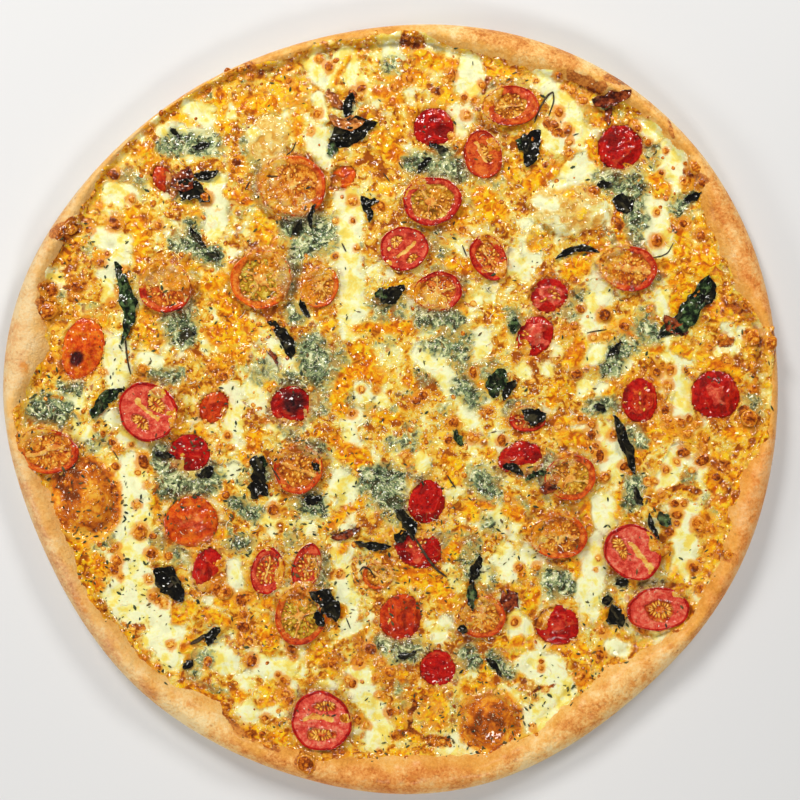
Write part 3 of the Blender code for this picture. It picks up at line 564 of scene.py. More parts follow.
def tomato_surface(half, x, y):
    """Return the height of a half's top and the marks that its material reads."""
    share = half_place(half, x, y)
    capped = np.minimum(share, 1.0)
    dx = x - half["x"]
    dy = y - half["y"]
    tilt = dx * half["slope"][0] + dy * half["slope"][1]
    tall = half["top"] - half["base"]
    seed = 300 + 7 * half["number"]
    grain = rough(x, y, 2.6, seed)
    along = dx * math.cos(half["pattern"]) + dy * math.sin(half["pattern"])
    across = dy * math.cos(half["pattern"]) - dx * math.sin(half["pattern"])
    marks = {}
    if half["kind"] in ("skin", "mush"):
        bent = across + 1.6 * rough(along, across, 7.0, seed + 2, 2)
        folds = 1.0 - np.abs(rough(along * 0.36, bent, 3.6, seed + 3, 2)) * 3.2
        depth = 0.75 if half["kind"] == "skin" else 1.0
        height = half["base"] + tall * (0.42 + 0.56 * np.sqrt(1.0 - 0.98 * capped ** 2))
        height = height + depth * (np.maximum(folds, -0.4) - 0.7) * smooth(1.02, 0.72, capped)
        dents = smooth(0.0, 0.6, rough(x, y, 8.0, seed + 5, 2))
        height = height - (1.0 if half["kind"] == "skin" else 1.8) * dents * smooth(1.0, 0.8, capped)
        marks["skin"] = 1.0 - half["pink"] * smooth(0.62, 0.25, capped + 0.4 * grain)
        marks["gel"] = np.zeros_like(height)
        marks["core"] = np.zeros_like(height)
        if half["kind"] == "mush":
            marks["skin"] = smooth(-0.35, 0.15, rough(x, y, 6.0, seed + 8) + 1.3 * (capped - 0.62))
            marks["gel"] = (1.0 - marks["skin"]) * smooth(0.0, 0.5, grain) * 0.7
        # fold is 0 in the low folds and dents and 1 on the ridges; the material paints shade and highlight by it.
        marks["fold"] = np.clip(0.5 + 0.5 * folds - 0.5 * dents, 0.0, 1.0)
    else:
        hollow, core = inner_pattern(half, x, y, capped)
        wrinkled = rough(x, y, 4.2, seed + 15, 2)
        height = half["top"] - 0.15 - 0.45 * (1.0 - capped ** 2)
        height = height - hollow * (1.25 - 0.5 * grain) - 0.35 * core + 0.12 * grain
        height = height + 0.35 * wrinkled * (1.0 - half["pink"]) * smooth(0.2, 0.7, capped)
        edge = smooth(0.90, 0.965, capped)
        height = height + 0.30 * edge - 1.5 * smooth(0.955, 1.02, capped) ** 2
        marks["skin"] = smooth(0.885, 0.925, capped + 0.035 * grain)
        marks["gel"] = hollow
        marks["core"] = core
        marks["fold"] = 0.5 + 0.5 * wrinkled
    marks["scorch"] = np.zeros_like(height)
    if half["scorch"]:
        spot_x, spot_y, spot = half["scorch"]
        away = np.hypot(dx - spot_x, dy - spot_y) / spot + 0.35 * rough(x, y, 4.0, seed + 9)
        marks["scorch"] = smooth(1.25, 0.65, away)
    marks["orange"] = half["orange"] + 0.25 * rough(x, y, 9.0, seed + 11, 2)
    marks["pink"] = half["pink"] + 0.2 * rough(x, y, 7.0, seed + 13, 2)
    marks["olive"] = half["olive"] + 0.2 * rough(x, y, 6.0, seed + 17, 2)
    return height + tilt, marks, share


HALVES = tomato_list()


# ---------------------------------------------------------------- the cheese's maps
def make_maps():
    """Return the grid of the cheese: its places, heights and what each place is made of."""
    reach = OUTER.max() + 3.0
    line = np.arange(-reach, reach, GRID_STEP)
    x, y = np.meshgrid(line, line, indexing="ij")
    warp_x = 2.5 * rough(x, y, 10.0, 21) + 0.9 * lumps(x, y, 3.4, 24)
    warp_y = 2.5 * rough(x, y, 10.0, 31) + 0.9 * lumps(x, y, 3.4, 34)
    u = x + warp_x
    v = y + warp_y
    pool = streaks(u, v, POOLS, 2.6)
    cheddar = streaks(u, v, CHEDDAR, 2.4)
    herb = streaks(u, v, HERBS, 4.0)
    brown = 0.85 * streaks(u, v, BROWNED, 1.0)
    plain = (1.0 - pool) * (1.0 - cheddar) * (1.0 - herb)
    outward = smooth(50.0, 130.0, np.hypot(x, y)) * (0.6 + 0.4 * smooth(-100.0, 120.0, x))
    strewn = smooth(0.25, 0.62, rough(x, y, 11.0, 41) + 0.30 * outward) * plain
    cheddar = np.maximum(cheddar, 0.75 * strewn)
    central = smooth(95.0, 35.0, np.hypot(x, y))
    grey = smooth(0.22, 0.5, rough(x, y, 15.0, 45) + 0.20 * central) * (1.0 - pool) * (1.0 - cheddar)
    herb = np.maximum(herb, 0.40 * grey)
    small_pools = smooth(0.0, 0.50, rough(x, y, 9.0, 49)) * (1.0 - cheddar) * (1.0 - herb)
    pool = np.maximum(pool * (1.0 - 0.8 * cheddar), 0.75 * small_pools)

    ground = crust_top(x, y)
    radius, _, outer = rim_at(x, y)
    edge = np.interp(np.arctan2(v, u), RIM_ANGLES, EDGE, period=TAU)
    edge = edge + 1.6 * rough(x, y, 9.0, 71, 2) + 1.1 * rough(x, y, 3.4, 74, 2)
    edge = np.minimum(edge + 3.0 * streaks(u, v, RIM_CHEESE, 1.4), outer - 1.8)
    beyond = radius - edge
    halo = spread_halos(x, y)
    bubbly = (1.0 - pool) * (1.0 - 0.5 * herb) * (1.0 - 0.5 * cheddar)
    near, value = cells(x, y, 4.8, 51)
    clusters = smooth(-0.30, 0.35, rough(x, y, 14.0, 55, 2) - 0.3 * central)
    domes = np.clip(1.0 - (near / (0.30 + 0.3 * value)) ** 2, 0.0, 1.0) * clusters
    near, value = cells(x, y, 2.6, 54)
    specks = np.clip(1.0 - (near / (0.35 + 0.25 * value)) ** 2, 0.0, 1.0)
    level = CHEESE_LEVEL + 0.6 + 0.7 * rough(x, y, 22.0, 57, 2) + 0.95 * pool + 0.35 * cheddar
    detail = bubbly * (1.1 * domes + 0.5 * specks) + 1.3 * herb * rough(x, y, 4.2, 61)
    detail = detail + (0.14 + 0.45 * bubbly) * rough(x, y, 3.4, 64) + 1.2 * rough(x, y, 7.5, 66, 2)
    blown = np.zeros_like(x)
    for mound in MOUNDS:
        away = oval_share(u, v, mound)
        level = level + mound[5] * np.clip(1.0 - away ** 2, 0.0, 1.0) ** 0.7
        blown = np.maximum(blown, smooth(1.05, 0.75, away) * min(mound[5] / 3.0, 1.0))
    roast = np.zeros_like(x)
    for bubble in DOUGH_BUBBLES:
        away = oval_share(u * 0.5 + x * 0.5, v * 0.5 + y * 0.5, bubble)
        on_bubble = smooth(1.10, 0.95, away)
        level = level + (np.maximum(level, ground + 0.35) - level) * on_bubble
        outline = 0.25 * np.exp(-((away - 1.0) / 0.10) ** 2)
        roast = np.maximum(roast, 0.66 * smooth(1.40, 0.75, away) + outline)
    for spot in ROASTED:
        roast = roast + 0.4 * smooth(1.3, 0.4, oval_share(u, v, spot)) * (roast > 0.0)
    calm = np.maximum(np.minimum(roast * 1.5, 1.0), blown)
    herb = herb * (1.0 - blown) * smooth(0.0, -7.0, beyond)
    cheddar = np.maximum(cheddar, 0.55 * smooth(-9.0, -2.0, beyond) * (1.0 - 0.7 * pool))
    detail = detail * (1.0 - 0.75 * calm)
    at_edge = smooth(-6.0, -1.0, beyond)
    bed = np.maximum(ground, CHEESE_LEVEL)
    level = level + (np.minimum(level, bed + 0.9) - level) * at_edge
    height = level + detail * (1.0 - 0.55 * at_edge)
    lip = bed + np.clip(-0.5 * beyond, -1.5, 0.75) + 0.35 * detail * smooth(0.5, -2.0, beyond)
    height = np.where(beyond > -1.5, lip, np.maximum(height, lip))
    maps = {
        "x": x, "y": y, "height": height, "top": np.maximum(height, ground), "pool": pool,
        "cheddar": cheddar, "herb": herb, "brown": brown, "blush": np.zeros_like(x), "halo": halo,
        "beyond": beyond, "blown": blown, "roast": roast,
    }
    for half in HALVES:
        settle_tomato(half, maps)
    toast = smooth(-5.0, 0.0, beyond + 3.0 * rough(x, y, 6.0, 77))
    maps["brown"] = np.maximum(maps["brown"], 0.42 * toast * (1.0 - 0.6 * pool))
    maps["domes"] = domes * bubbly * (1.0 - calm)
    maps["top"] = np.maximum(maps["top"], maps["height"])
    maps["kept"] = (beyond < 3.2) & (radius < outer - 0.8)
    return maps


def spread_halos(x, y):
    """Return how near each place is to the edge of a placed blister, where the cheese turns golden."""
    halo = np.zeros_like(x)
    for spot_x, spot_y, radius in BLISTERS:
        reach = 2.6 * radius + 1.0
        first_i, last_i = np.searchsorted(x[:, 0], (spot_x - reach, spot_x + reach))
        first_j, last_j = np.searchsorted(y[0], (spot_y - reach, spot_y + reach))
        window = (slice(first_i, last_i), slice(first_j, last_j))
        away = np.hypot(x[window] - spot_x, y[window] - spot_y) / radius
        away = away + 0.35 * rough(x[window], y[window], 4.0, 115, 2)
        halo[window] = np.maximum(halo[window], smooth(2.0, 1.0, away))
    return halo


def settle_tomato(half, maps):
    """Sink a tomato half into the cheese, which climbs its side and covers some of its face."""
    reach = half["long"] + 7.0
    near = (np.abs(maps["x"] - half["x"]) < reach) & (np.abs(maps["y"] - half["y"]) < reach)
    px = maps["x"][near]
    py = maps["y"][near]
    flat = maps["height"][near]
    face, _, share = tomato_surface(half, px, py)
    size = math.sqrt(half["long"] * half["wide"])
    away = np.maximum(share - 1.0, 0.0) * size
    side = (px - half["x"]) * math.cos(half["cover_side"]) + (py - half["y"]) * math.sin(half["cover_side"])
    lean = 0.5 * np.clip(side / size, -1.0, 1.0) * (0.35 + half["cover"])
    mottle = 0.5 + 0.75 * rough(px, py, 7.0, 500 + half["number"]) + 0.2 * (np.minimum(share, 1.2) - 0.7)
    cover = mottle + lean * 1.6 - (1.0 - half["cover"])
    lift = smooth(-0.10, 0.20, cover)
    over = face + np.clip(2.4 * cover, -2.2, 0.45)
    rise = np.maximum(face + 0.25 - flat, 0.0) * (0.22 + 0.75 * lift) * np.exp(-(away / 2.1) ** 2)
    inside = share < 1.0
    maps["height"][near] = np.where(inside, over, flat + rise)
    glow = np.where(inside, 0.8, 0.8 * np.exp(-away / 1.8))
    maps["blush"][near] = np.maximum(maps["blush"][near], glow)
    maps["pool"][near] *= 1.0 - 0.8 * smooth(1.15, 0.95, share)
    maps["herb"][near] *= 1.0 - 0.6 * smooth(1.10, 0.90, share)
    ring = np.exp(-(((share - 0.98) * size / 0.8) ** 2)) * lift
    maps["brown"][near] = np.maximum(maps["brown"][near], 0.62 * ring)
    top = maps["top"][near]
    maps["top"][near] = np.where(inside, np.maximum(over, face), np.maximum(top, flat + rise))


MAPS = make_maps()


def blurred(grid, reach):
    """Return a grid averaged over a square of neighbours, reach points each way."""
    total = sum(np.roll(grid, shift, 0) for shift in range(-reach, reach + 1))
    total = sum(np.roll(total, shift, 1) for shift in range(-reach, reach + 1))
    return total / (2 * reach + 1) ** 2


# Painted shade: how far each place lies below its neighbours' mean, faded out near the cheese's edge, so that the
# colour darkens in the hollows.
MAPS["cavity_shade"] = (MAPS["height"] - blurred(blurred(MAPS["height"], 2), 2)) * smooth(-1.0, -8.0, MAPS["beyond"])


def read_map(name, x, y):
    """Return a map's value at any places, between its grid points."""
    grid = MAPS[name]
    u = (np.asarray(x) - MAPS["x"][0, 0]) / GRID_STEP
    v = (np.asarray(y) - MAPS["y"][0, 0]) / GRID_STEP
    i = np.clip(np.floor(u).astype(int), 0, grid.shape[0] - 2)
    j = np.clip(np.floor(v).astype(int), 0, grid.shape[1] - 2)
    a = np.clip(u - i, 0.0, 1.0)
    b = np.clip(v - j, 0.0, 1.0)
    low = grid[i, j] * (1 - a) + grid[i + 1, j] * a
    high = grid[i, j + 1] * (1 - a) + grid[i + 1, j + 1] * a
    return low * (1 - b) + high * b


# ---------------------------------------------------------------- meshes
def add_piece(name, points, faces, material, marks=None, stands_for=()):
    """Make a closed smooth-shaded mesh from millimetre points and let it ride on the pizza."""
    mesh = bpy.data.meshes.new(name)
    points = np.asarray(points, float)
    faces = [np.asarray(group, int) for group in faces if len(group)]
    if enclosed_volume(points, faces) < 0.0:
        faces = [group[:, ::-1] for group in faces]
    mesh.from_pydata((points * MM).tolist(), [], [face for group in faces for face in group.tolist()])
    mesh.shade_smooth()
    for mark, values in (marks or {}).items():
        layer = mesh.attributes.new(mark, "FLOAT", "POINT")
        layer.data.foreach_set("value", np.ascontiguousarray(values, np.float32).ravel())
    mesh.materials.append(material)
    piece = bpy.data.objects.new(name, mesh)
    bpy.context.scene.collection.objects.link(piece)
    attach(piece, "root")
    if stands_for:
        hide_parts(*stands_for)
    return piece


def enclosed_volume(points, faces):
    """Return the volume that the faces close in, negative if they face inwards."""
    volume = 0.0
    for group in faces:
        first = points[group[:, 0]]
        for corner in range(1, group.shape[1] - 1):
            crossed = np.cross(points[group[:, corner]], points[group[:, corner + 1]])
            volume += np.einsum("ij,ij->", first, crossed)
    return volume


def ring_faces(rings, steps):
    """Return the quads between rings of points, numbered after a first middle point, and both caps."""
    index = np.arange(steps)
    after = (index + 1) % steps
    starts = 1 + np.arange(rings - 1)[:, None] * steps
    quads = np.stack([starts + index, starts + steps + index, starts + steps + after, starts + after], -1)
    first_cap = np.stack([np.zeros(steps, int), 1 + index, 1 + after], -1)
    last_start = 1 + (rings - 1) * steps
    last = np.full(steps, 1 + rings * steps)
    last_cap = np.stack([last, last_start + after, last_start + index], -1)
    return [quads.reshape(-1, 4), first_cap, last_cap]


def make_crust(material):
    """Make the baked dough: rim, bubbles, side and underside in one closed mesh."""
    steps = 880
    turns = np.linspace(0.0, TAU, steps + 1)[:-1]
    inner = np.interp(turns, RIM_ANGLES, INNER, period=TAU)
    outer = np.interp(turns, RIM_ANGLES, OUTER, period=TAU)
    width = outer - inner
    crest = 0.42 * (NARROW_CREST + (RIM_CREST - NARROW_CREST) * np.minimum(width / FULL_CREST_WIDTH, 1.0))
    radii = [inner * share for share in (0.25, 0.5, 0.7, 0.76, 0.8, 0.83, 0.86, 0.88, 0.9, 0.92, 0.94, 0.96)]
    radii += [inner - back for back in (4.0, 2.5, 1.2)]
    radii += [inner + width * share for share in np.linspace(0.0, 0.5, 15)]
    radii += [inner + width * (0.5 + 0.5 * math.sin(math.pi / 2 * part)) for part in np.linspace(0.08, 0.97, 14)]
    rings = []
    for radius in radii:
        x = radius * np.cos(turns)
        y = radius * np.sin(turns)
        rings.append(np.stack([x, y, crust_top(x, y)], -1))
    sides = ((0.05, 0.98), (0.0, 0.85), (0.1, 0.68), (0.4, 0.5), (0.9, 0.33), (1.8, 0.17), (3.2, 0.06))
    for inset, level in sides:
        bumps = 0.5 * rough(turns * 170.0, 40.0 * level + 0.0 * turns, 9.0, 81)
        radius = outer - inset + bumps * smooth(0.0, 0.4, level)
        rings.append(np.stack([radius * np.cos(turns), radius * np.sin(turns), level * crest], -1))
    for share in (0.97, 0.93, 0.86, 0.75, 0.6, 0.45, 0.3, 0.15):
        radius = (outer - 3.0) * share
        x = radius * np.cos(turns)
        y = radius * np.sin(turns)
        arch = 0.5 * smooth(0.98, 0.90, share) * (0.5 + 0.5 * rough(x, y, 26.0, 84))
        rings.append(np.stack([x, y, arch], -1))
    points = np.vstack([[0.0, 0.0, FLOOR_LEVEL], *rings, [0.0, 0.0, 0.3]])
    x, y, z = points.T
    radius, inner, outer = rim_at(x, y)
    turn = np.arctan2(y, x)
    bake = 0.42 + 0.30 * rough(x, y, 16.0, 86, 2) + 0.12 * smooth(11.0, 17.5, z) - 0.25 * smooth(7.0, 2.0, z)
    bake = bake + 0.16 * np.exp(-((turn + 1.60) / 0.30) ** 2) - 0.14 * smooth(1.4, 2.6, np.abs(turn - 0.3))
    bake = bake - 0.18 * np.exp(-((turn + 1.0) / 0.25) ** 2)
    browned = streaks(x + 1.5 * rough(x, y, 5.0, 91), y + 1.5 * rough(x, y, 5.0, 94), BROWNED, 1.2)
    on_top = smooth(7.0, 10.0, z)
    greased = smooth(10.0, 1.0, radius - np.interp(turn, RIM_ANGLES, EDGE, period=TAU) + 3.0 * rough(x, y, 6.0, 97))
    marks = {
        "bake": bake, "char": browned * on_top, "oily": on_top * greased, "under": smooth(2.0, 0.6, z),
        "ruddy": 0.15 + 0.8 * np.exp(-((turn + 0.1) / 0.6) ** 2) + 0.4 * np.exp(-((turn + 1.55) / 0.3) ** 2),
        "tan": smooth(0.2, 0.9, np.cos(turn - math.pi * 0.98)),
    }
    return add_piece("baked_crust", points, ring_faces(len(rings), steps), material,
                     marks, ("crust",))


def make_cheese(material):
    """Make the melted cheese from its maps: a top sheet closed by a wall and a flat underside."""
    kept = MAPS["kept"]
    cell = kept[:-1, :-1] & kept[1:, :-1] & kept[1:, 1:] & kept[:-1, 1:]
    used = np.zeros_like(kept)
    for shift_x in (0, 1):
        for shift_y in (0, 1):
            rows = slice(shift_x, kept.shape[0] - 1 + shift_x)
            columns = slice(shift_y, kept.shape[1] - 1 + shift_y)
            used[rows, columns] |= cell
    number = np.full(kept.shape, -1)
    number[used] = np.arange(used.sum())
    i, j = np.nonzero(cell)
    quads = np.stack([number[i, j], number[i + 1, j], number[i + 1, j + 1], number[i, j + 1]], -1)
    points = np.stack([MAPS["x"][used], MAPS["y"][used], MAPS["height"][used]], -1)
    edges = np.concatenate([quads[:, [k, (k + 1) % 4]] for k in range(4)])
    forward = edges[:, 0] * len(points) + edges[:, 1]
    backward = edges[:, 1] * len(points) + edges[:, 0]
    border = edges[~np.isin(forward, backward)]
    ring = np.unique(border)
    lower = np.full(len(points), -1)
    lower[ring] = len(points) + np.arange(len(ring))
    foot = points[ring].copy()
    foot[:, 2] = FLOOR_LEVEL - 1.0
    middle = len(points) + len(ring)
    wall = np.stack([border[:, 1], border[:, 0], lower[border[:, 0]], lower[border[:, 1]]], -1)
    base = np.stack([lower[border[:, 1]], lower[border[:, 0]], np.full(len(border), middle)], -1)
    points = np.vstack([points, foot, [0.0, 0.0, FLOOR_LEVEL - 1.0]])
    marks = {}
    for mark in ("pool", "cheddar", "herb", "brown", "blush", "domes", "blown", "cavity_shade", "halo",
                 "roast"):
        marks[mark] = np.concatenate([MAPS[mark][used], np.zeros(len(ring) + 1)])
    return add_piece("melted_cheese", points, [quads, wall, base], material,
                     marks, ("cheese",))


def make_tomato(half, material):
    """Make one tomato half: its detailed top, its round side and its underside."""
    steps = 60
    turns = np.linspace(0.0, TAU, steps + 1)[:-1]
    shares = [*np.linspace(0.05, 0.90, 18), 0.925, 0.95, 0.97, 0.985, 1.0]
    sides = ((1.0, 0.16), (0.985, 0.34), (0.94, 0.56), (0.86, 0.78), (0.76, 0.93), (0.66, 1.0))
    cosine, sine = math.cos(half["turn"]), math.sin(half["turn"])
    u = np.cos(turns)
    v = np.sin(turns)
    x = half["x"] + (u * half["long"] * cosine - v * half["wide"] * sine)
    y = half["y"] + (u * half["long"] * sine + v * half["wide"] * cosine)
    edge = half_place(half, x, y)
    reach_x = (x - half["x"]) / edge
    reach_y = (y - half["y"]) / edge
    places = [(half["x"], half["y"])]
    rings_x = [half["x"] + reach_x * share for share in shares]
    rings_y = [half["y"] + reach_y * share for share in shares]
    top_x = np.concatenate([[half["x"]], *rings_x])
    top_y = np.concatenate([[half["y"]], *rings_y])
    top_z, marks, _ = tomato_surface(half, top_x, top_y)
    points = [np.stack([top_x, top_y, top_z], -1)]
    edge_z = top_z[-steps:]
    for share, drop in sides:
        z = edge_z + (half["base"] - edge_z) * drop
        points.append(np.stack([half["x"] + reach_x * share, half["y"] + reach_y * share, z], -1))
    points.append(np.array([[*places[0], half["base"]]]))
    points = np.vstack(points)
    rings = len(shares) + len(sides)
    extra = len(points) - len(top_x)
    defaults = {"skin": 1.0, "orange": half["orange"]}
    for mark, values in marks.items():
        marks[mark] = np.concatenate([values, np.full(extra, defaults.get(mark, 0.0))])
    name = f"tomato_half_{half['number']:02d}"
    return add_piece(f"cherry_{name}", points, ring_faces(rings, steps), material,
                     marks, (name,))


def scattered(template, faces, x, y, z, turn, size, tilt=None):
    """Return the points and faces of many turned and sized copies of a small closed shape."""
    count = len(x)
    shape = np.asarray(template, float)[None] * np.asarray(size, float)[:, None]
    if tilt is not None:
        lifted = shape[..., 2] + shape[..., 0] * np.asarray(tilt)[:, None]
        shape = np.stack([shape[..., 0], shape[..., 1], lifted], -1)
    cosine = np.cos(turn)[:, None]
    sine = np.sin(turn)[:, None]
    px = shape[..., 0] * cosine - shape[..., 1] * sine + np.asarray(x)[:, None]
    py = shape[..., 0] * sine + shape[..., 1] * cosine + np.asarray(y)[:, None]
    pz = shape[..., 2] + np.asarray(z)[:, None]
    points = np.stack([px, py, pz], -1).reshape(-1, 3)
    shifts = (np.arange(count) * len(template))[:, None, None]
    groups = [(np.asarray(group)[None] + shifts).reshape(-1, len(group[0])) for group in faces]
    return points, groups


def button(steps, rings):
    """Return a low dome's points and faces; each ring is a share of its radius and a height."""
    turns = np.linspace(0.0, TAU, steps + 1)[:-1]
    points = [(0.0, 0.0, rings[0][1])]
    for radius, height in rings[1:]:
        points += [(radius * math.cos(turn), radius * math.sin(turn), height) for turn in turns]
    points.append((0.0, 0.0, rings[-1][1]))
    return np.array(points), ring_faces(len(rings) - 1, steps)


def pick_places(count, seed, weight, apart=0.0):
    """Return seeded places on the pizza, likelier where weight(x, y) is high, from 0 to 1."""
    chance = np.random.default_rng(seed)
    found_x, found_y = np.zeros(0), np.zeros(0)
    while len(found_x) < count:
        x = chance.uniform(-176.0, 176.0, 6000)
        y = chance.uniform(-176.0, 176.0, 6000)
        keep = chance.random(6000) < weight(x, y)
        x, y = x[keep], y[keep]
        if apart:
            for px, py in zip(x, y):
                if len(found_x) >= count:
                    break
                if len(found_x) == 0 or np.hypot(found_x - px, found_y - py).min() > apart:
                    found_x = np.append(found_x, px)
                    found_y = np.append(found_y, py)
        else:
            found_x = np.append(found_x, x)
            found_y = np.append(found_y, y)
    return found_x[:count], found_y[:count]


def make_blisters(material):
    """Make the browned blisters of the cheese: the placed ones and many small ones between them."""
    chance = np.random.default_rng(5)
    placed = np.array(BLISTERS, float)

    def weight(x, y):
        calm = read_map("pool", x, y) * 0.85 + read_map("herb", x, y) * 1.2
        clustered = smooth(-0.25, 0.45, rough(x, y, 24.0, 101))
        open_cheese = (read_map("beyond", x, y) < 1.0) & (read_map("blush", x, y) < 0.74)
        open_cheese = open_cheese & (read_map("blown", x, y) < 0.5)
        return clustered * np.clip(1.0 - calm, 0.02, 1.0) * open_cheese

    x, y = pick_places(SMALL_BLISTERS, 103, weight, 2.4)
    radius = 0.55 + 0.9 * chance.random(len(x)) ** 2.2
    x = np.concatenate([placed[:, 0], x])
    y = np.concatenate([placed[:, 1], y])
    radius = np.concatenate([placed[:, 2], radius])
    count = len(x)
    rings = ((0, 0.36), (0.35, 0.35), (0.62, 0.30), (0.82, 0.17), (1.0, 0.02), (1.12, -0.35))
    shape, faces = button(12, rings)
    size = radius[:, None] * np.stack([chance.uniform(0.88, 1.25, count), chance.uniform(0.8, 1.0, count),
                                       chance.uniform(0.75, 1.25, count)], -1)
    turn = chance.uniform(0.0, TAU, count)
    ground = read_map("top", x, y)
    points, faces = scattered(shape, faces, x, y, ground, turn, size)
    wave = rough(points[:, 0], points[:, 1], 1.6, 107)
    points[:, 2] += 0.16 * wave * np.repeat(np.minimum(radius, 2.0), len(shape))
    reach = 0.10 + 0.16 * np.repeat(radius, len(shape))[:, None]
    points[:, :2] += reach * np.stack([rough(points[:, 0], points[:, 1], 2.2, 109, 2),
                                       rough(points[:, 0], points[:, 1], 2.2, 112, 2)], -1)
    outward = np.hypot(shape[:, 0], shape[:, 1])
    marks = {
        "outward": np.tile(outward, count),
        "tone": np.repeat(chance.random(count), len(shape)),
        "big": np.repeat(smooth(1.0, 3.0, radius), len(shape)),
    }
    return add_piece("cheese_blisters", points, faces, material, marks)


def make_flecks(material):
    """Make the dried herb flecks, thin dark shards strewn over everything but the rim."""
    chance = np.random.default_rng(6)
    shape = [(-1, 0, 0), (-0.3, -1, 0.2), (0.6, -0.7, 0.1), (1, 0.1, 0), (0.2, 1, 0.25), (-0.6, 0.6, 0.1)]
    low = [(x, y, z - 1.0) for x, y, z in shape]
    faces = [[(0, 1, 2, 3), (0, 3, 4, 5), (9, 8, 7, 6), (11, 10, 9, 6)],
             [(k, (k + 1) % 6, (k + 1) % 6 + 6, k + 6) for k in range(6)]]
    faces[1] = [face[::-1] for face in faces[1]]

    def weight(x, y):
        herb = read_map("herb", x, y)
        lower_left = smooth(80.0, -120.0, y + 0.5 * x)
        clustered = smooth(-0.5, 0.5, rough(x, y, 20.0, 121))
        return (0.07 + 0.38 * lower_left + 0.5 * herb) * clustered * (read_map("beyond", x, y) < 1.0)

    x, y = pick_places(FLECKS, 123, weight)
    length = 0.4 + 1.1 * chance.random(FLECKS) ** 2.0
    size = np.stack([length, length * chance.uniform(0.18, 0.5, FLECKS), np.full(FLECKS, 0.22)], -1)
    turn = chance.uniform(0.0, TAU, FLECKS)
    ground = read_map("top", x, y) + 0.22
    points, faces = scattered(shape + low, faces, x, y, ground, turn, size, chance.uniform(-0.2, 0.2, FLECKS))
    marks = {"tone": np.repeat(chance.random(FLECKS), 12)}
    return add_piece("herb_flecks", points, faces, material, marks)


def make_crumbs(material):
    """Make the pale grains of hard cheese, which also stand in as painted glints, densest on the grey herb patches.
    """
    chance = np.random.default_rng(7)
    shape = [(1, 0, 0), (0, 1, 0), (-1, 0, 0), (0, -1, 0), (0.1, 0.1, 1), (0, 0, -1)]
    faces = [[(0, 1, 4), (1, 2, 4), (2, 3, 4), (3, 0, 4), (1, 0, 5), (2, 1, 5), (3, 2, 5), (0, 3, 5)]]

    def weight(x, y):
        herb = read_map("herb", x, y)
        calm = np.maximum(read_map("pool", x, y), read_map("cheddar", x, y))
        middle = smooth(160.0, 30.0, np.hypot(x, y - 10.0))
        clustered = smooth(-0.3, 0.5, rough(x, y, 16.0, 131))
        dense = (0.06 + 0.35 * herb + 0.36 * middle * clustered) * (1.0 - 0.8 * calm)
        dense = dense * (1.0 - 0.9 * smooth(0.6, 0.9, read_map("blush", x, y))) * (1.0 - read_map("blown", x, y))
        return dense * (read_map("beyond", x, y) < 1.0)

    x, y = pick_places(CRUMBS, 133, weight)
    width = 0.16 + 0.34 * chance.random(CRUMBS) ** 2.4
    size = width[:, None] * chance.uniform(0.5, 1.5, (CRUMBS, 3))
    turn = chance.uniform(0.0, TAU, CRUMBS)
    points, faces = scattered(shape, faces, x, y, read_map("top", x, y) + 0.10, turn, size)
    return add_piece("cheese_crumbs_and_glints", points, faces, material)


def make_threads(material):
    """Make the short curled threads of grated cheese that lie pale on top and also stand in as painted glints."""
    chance = np.random.default_rng(8)
    steps = np.linspace(-1.0, 1.0, 7)
    shape = []
    for step in steps:
        for corner in range(4):
            turn = TAU * corner / 4
            thin = 1.0 - 0.6 * step ** 2
            shape.append((step, 0.5 * step ** 2 - 0.25 + 0.10 * thin * math.cos(turn),
                          thin * math.sin(turn)))
    quads = []
    for ring in range(len(steps) - 1):
        for corner in range(4):
            after = (corner + 1) % 4
            quads.append((4 * ring + corner, 4 * ring + after, 4 * ring + 4 + after, 4 * ring + 4 + corner))
    last = 4 * (len(steps) - 1)
    quads += [(3, 2, 1, 0), (last, last + 1, last + 2, last + 3)]

    def weight(x, y):
        middle = smooth(150.0, 40.0, np.hypot(x, y))
        return (0.2 + 0.5 * read_map("herb", x, y) + 0.4 * middle) * (read_map("beyond", x, y) < -4.0)

    x, y = pick_places(THREADS, 143, weight)
    length = chance.uniform(0.9, 2.6, THREADS)
    size = np.stack([length, length * chance.uniform(0.5, 1.0, THREADS) * chance.choice([-1, 1], THREADS),
                     np.full(THREADS, 0.20)], -1)
    size[:, 1] = np.abs(size[:, 1])
    turn = chance.uniform(0.0, TAU, THREADS)
    points, faces = scattered(shape, [quads], x, y, read_map("top", x, y) + 0.2, turn, size)
    return add_piece("cheese_threads_and_glints", points, faces, material)


def pocket_seeds(half, chance):
    """Return the places of a fleshy half's seeds: a ring of long ones in each of its seed pockets."""
    size = math.sqrt(half["long"] * half["wide"])
    found = []
    for pocket_x, pocket_y, length, width, turn in POCKETS[half["number"]][0]:
        cosine, sine = math.cos(math.radians(turn)), math.sin(math.radians(turn))
        count = int(0.85 * size * (length + width))
        for step in range(count):
            angle = TAU * (step + chance.uniform(-0.2, 0.2)) / count
            reach = chance.uniform(0.52, 0.68)
            along = reach * length / 2.0 * math.cos(angle)
            across = reach * width / 2.0 * math.sin(angle)
            x = half["x"] + size * (pocket_x + along * cosine - across * sine)
            y = half["y"] + size * (pocket_y + along * sine + across * cosine)
            height = tomato_surface(half, np.array([x]), np.array([y]))[0][0]
            outward = math.atan2(math.sin(angle) * length, math.cos(angle) * width) + math.radians(turn)
            found.append((x, y, height + 0.12, outward + chance.normal(0.0, 0.15), 1.6))
    return found


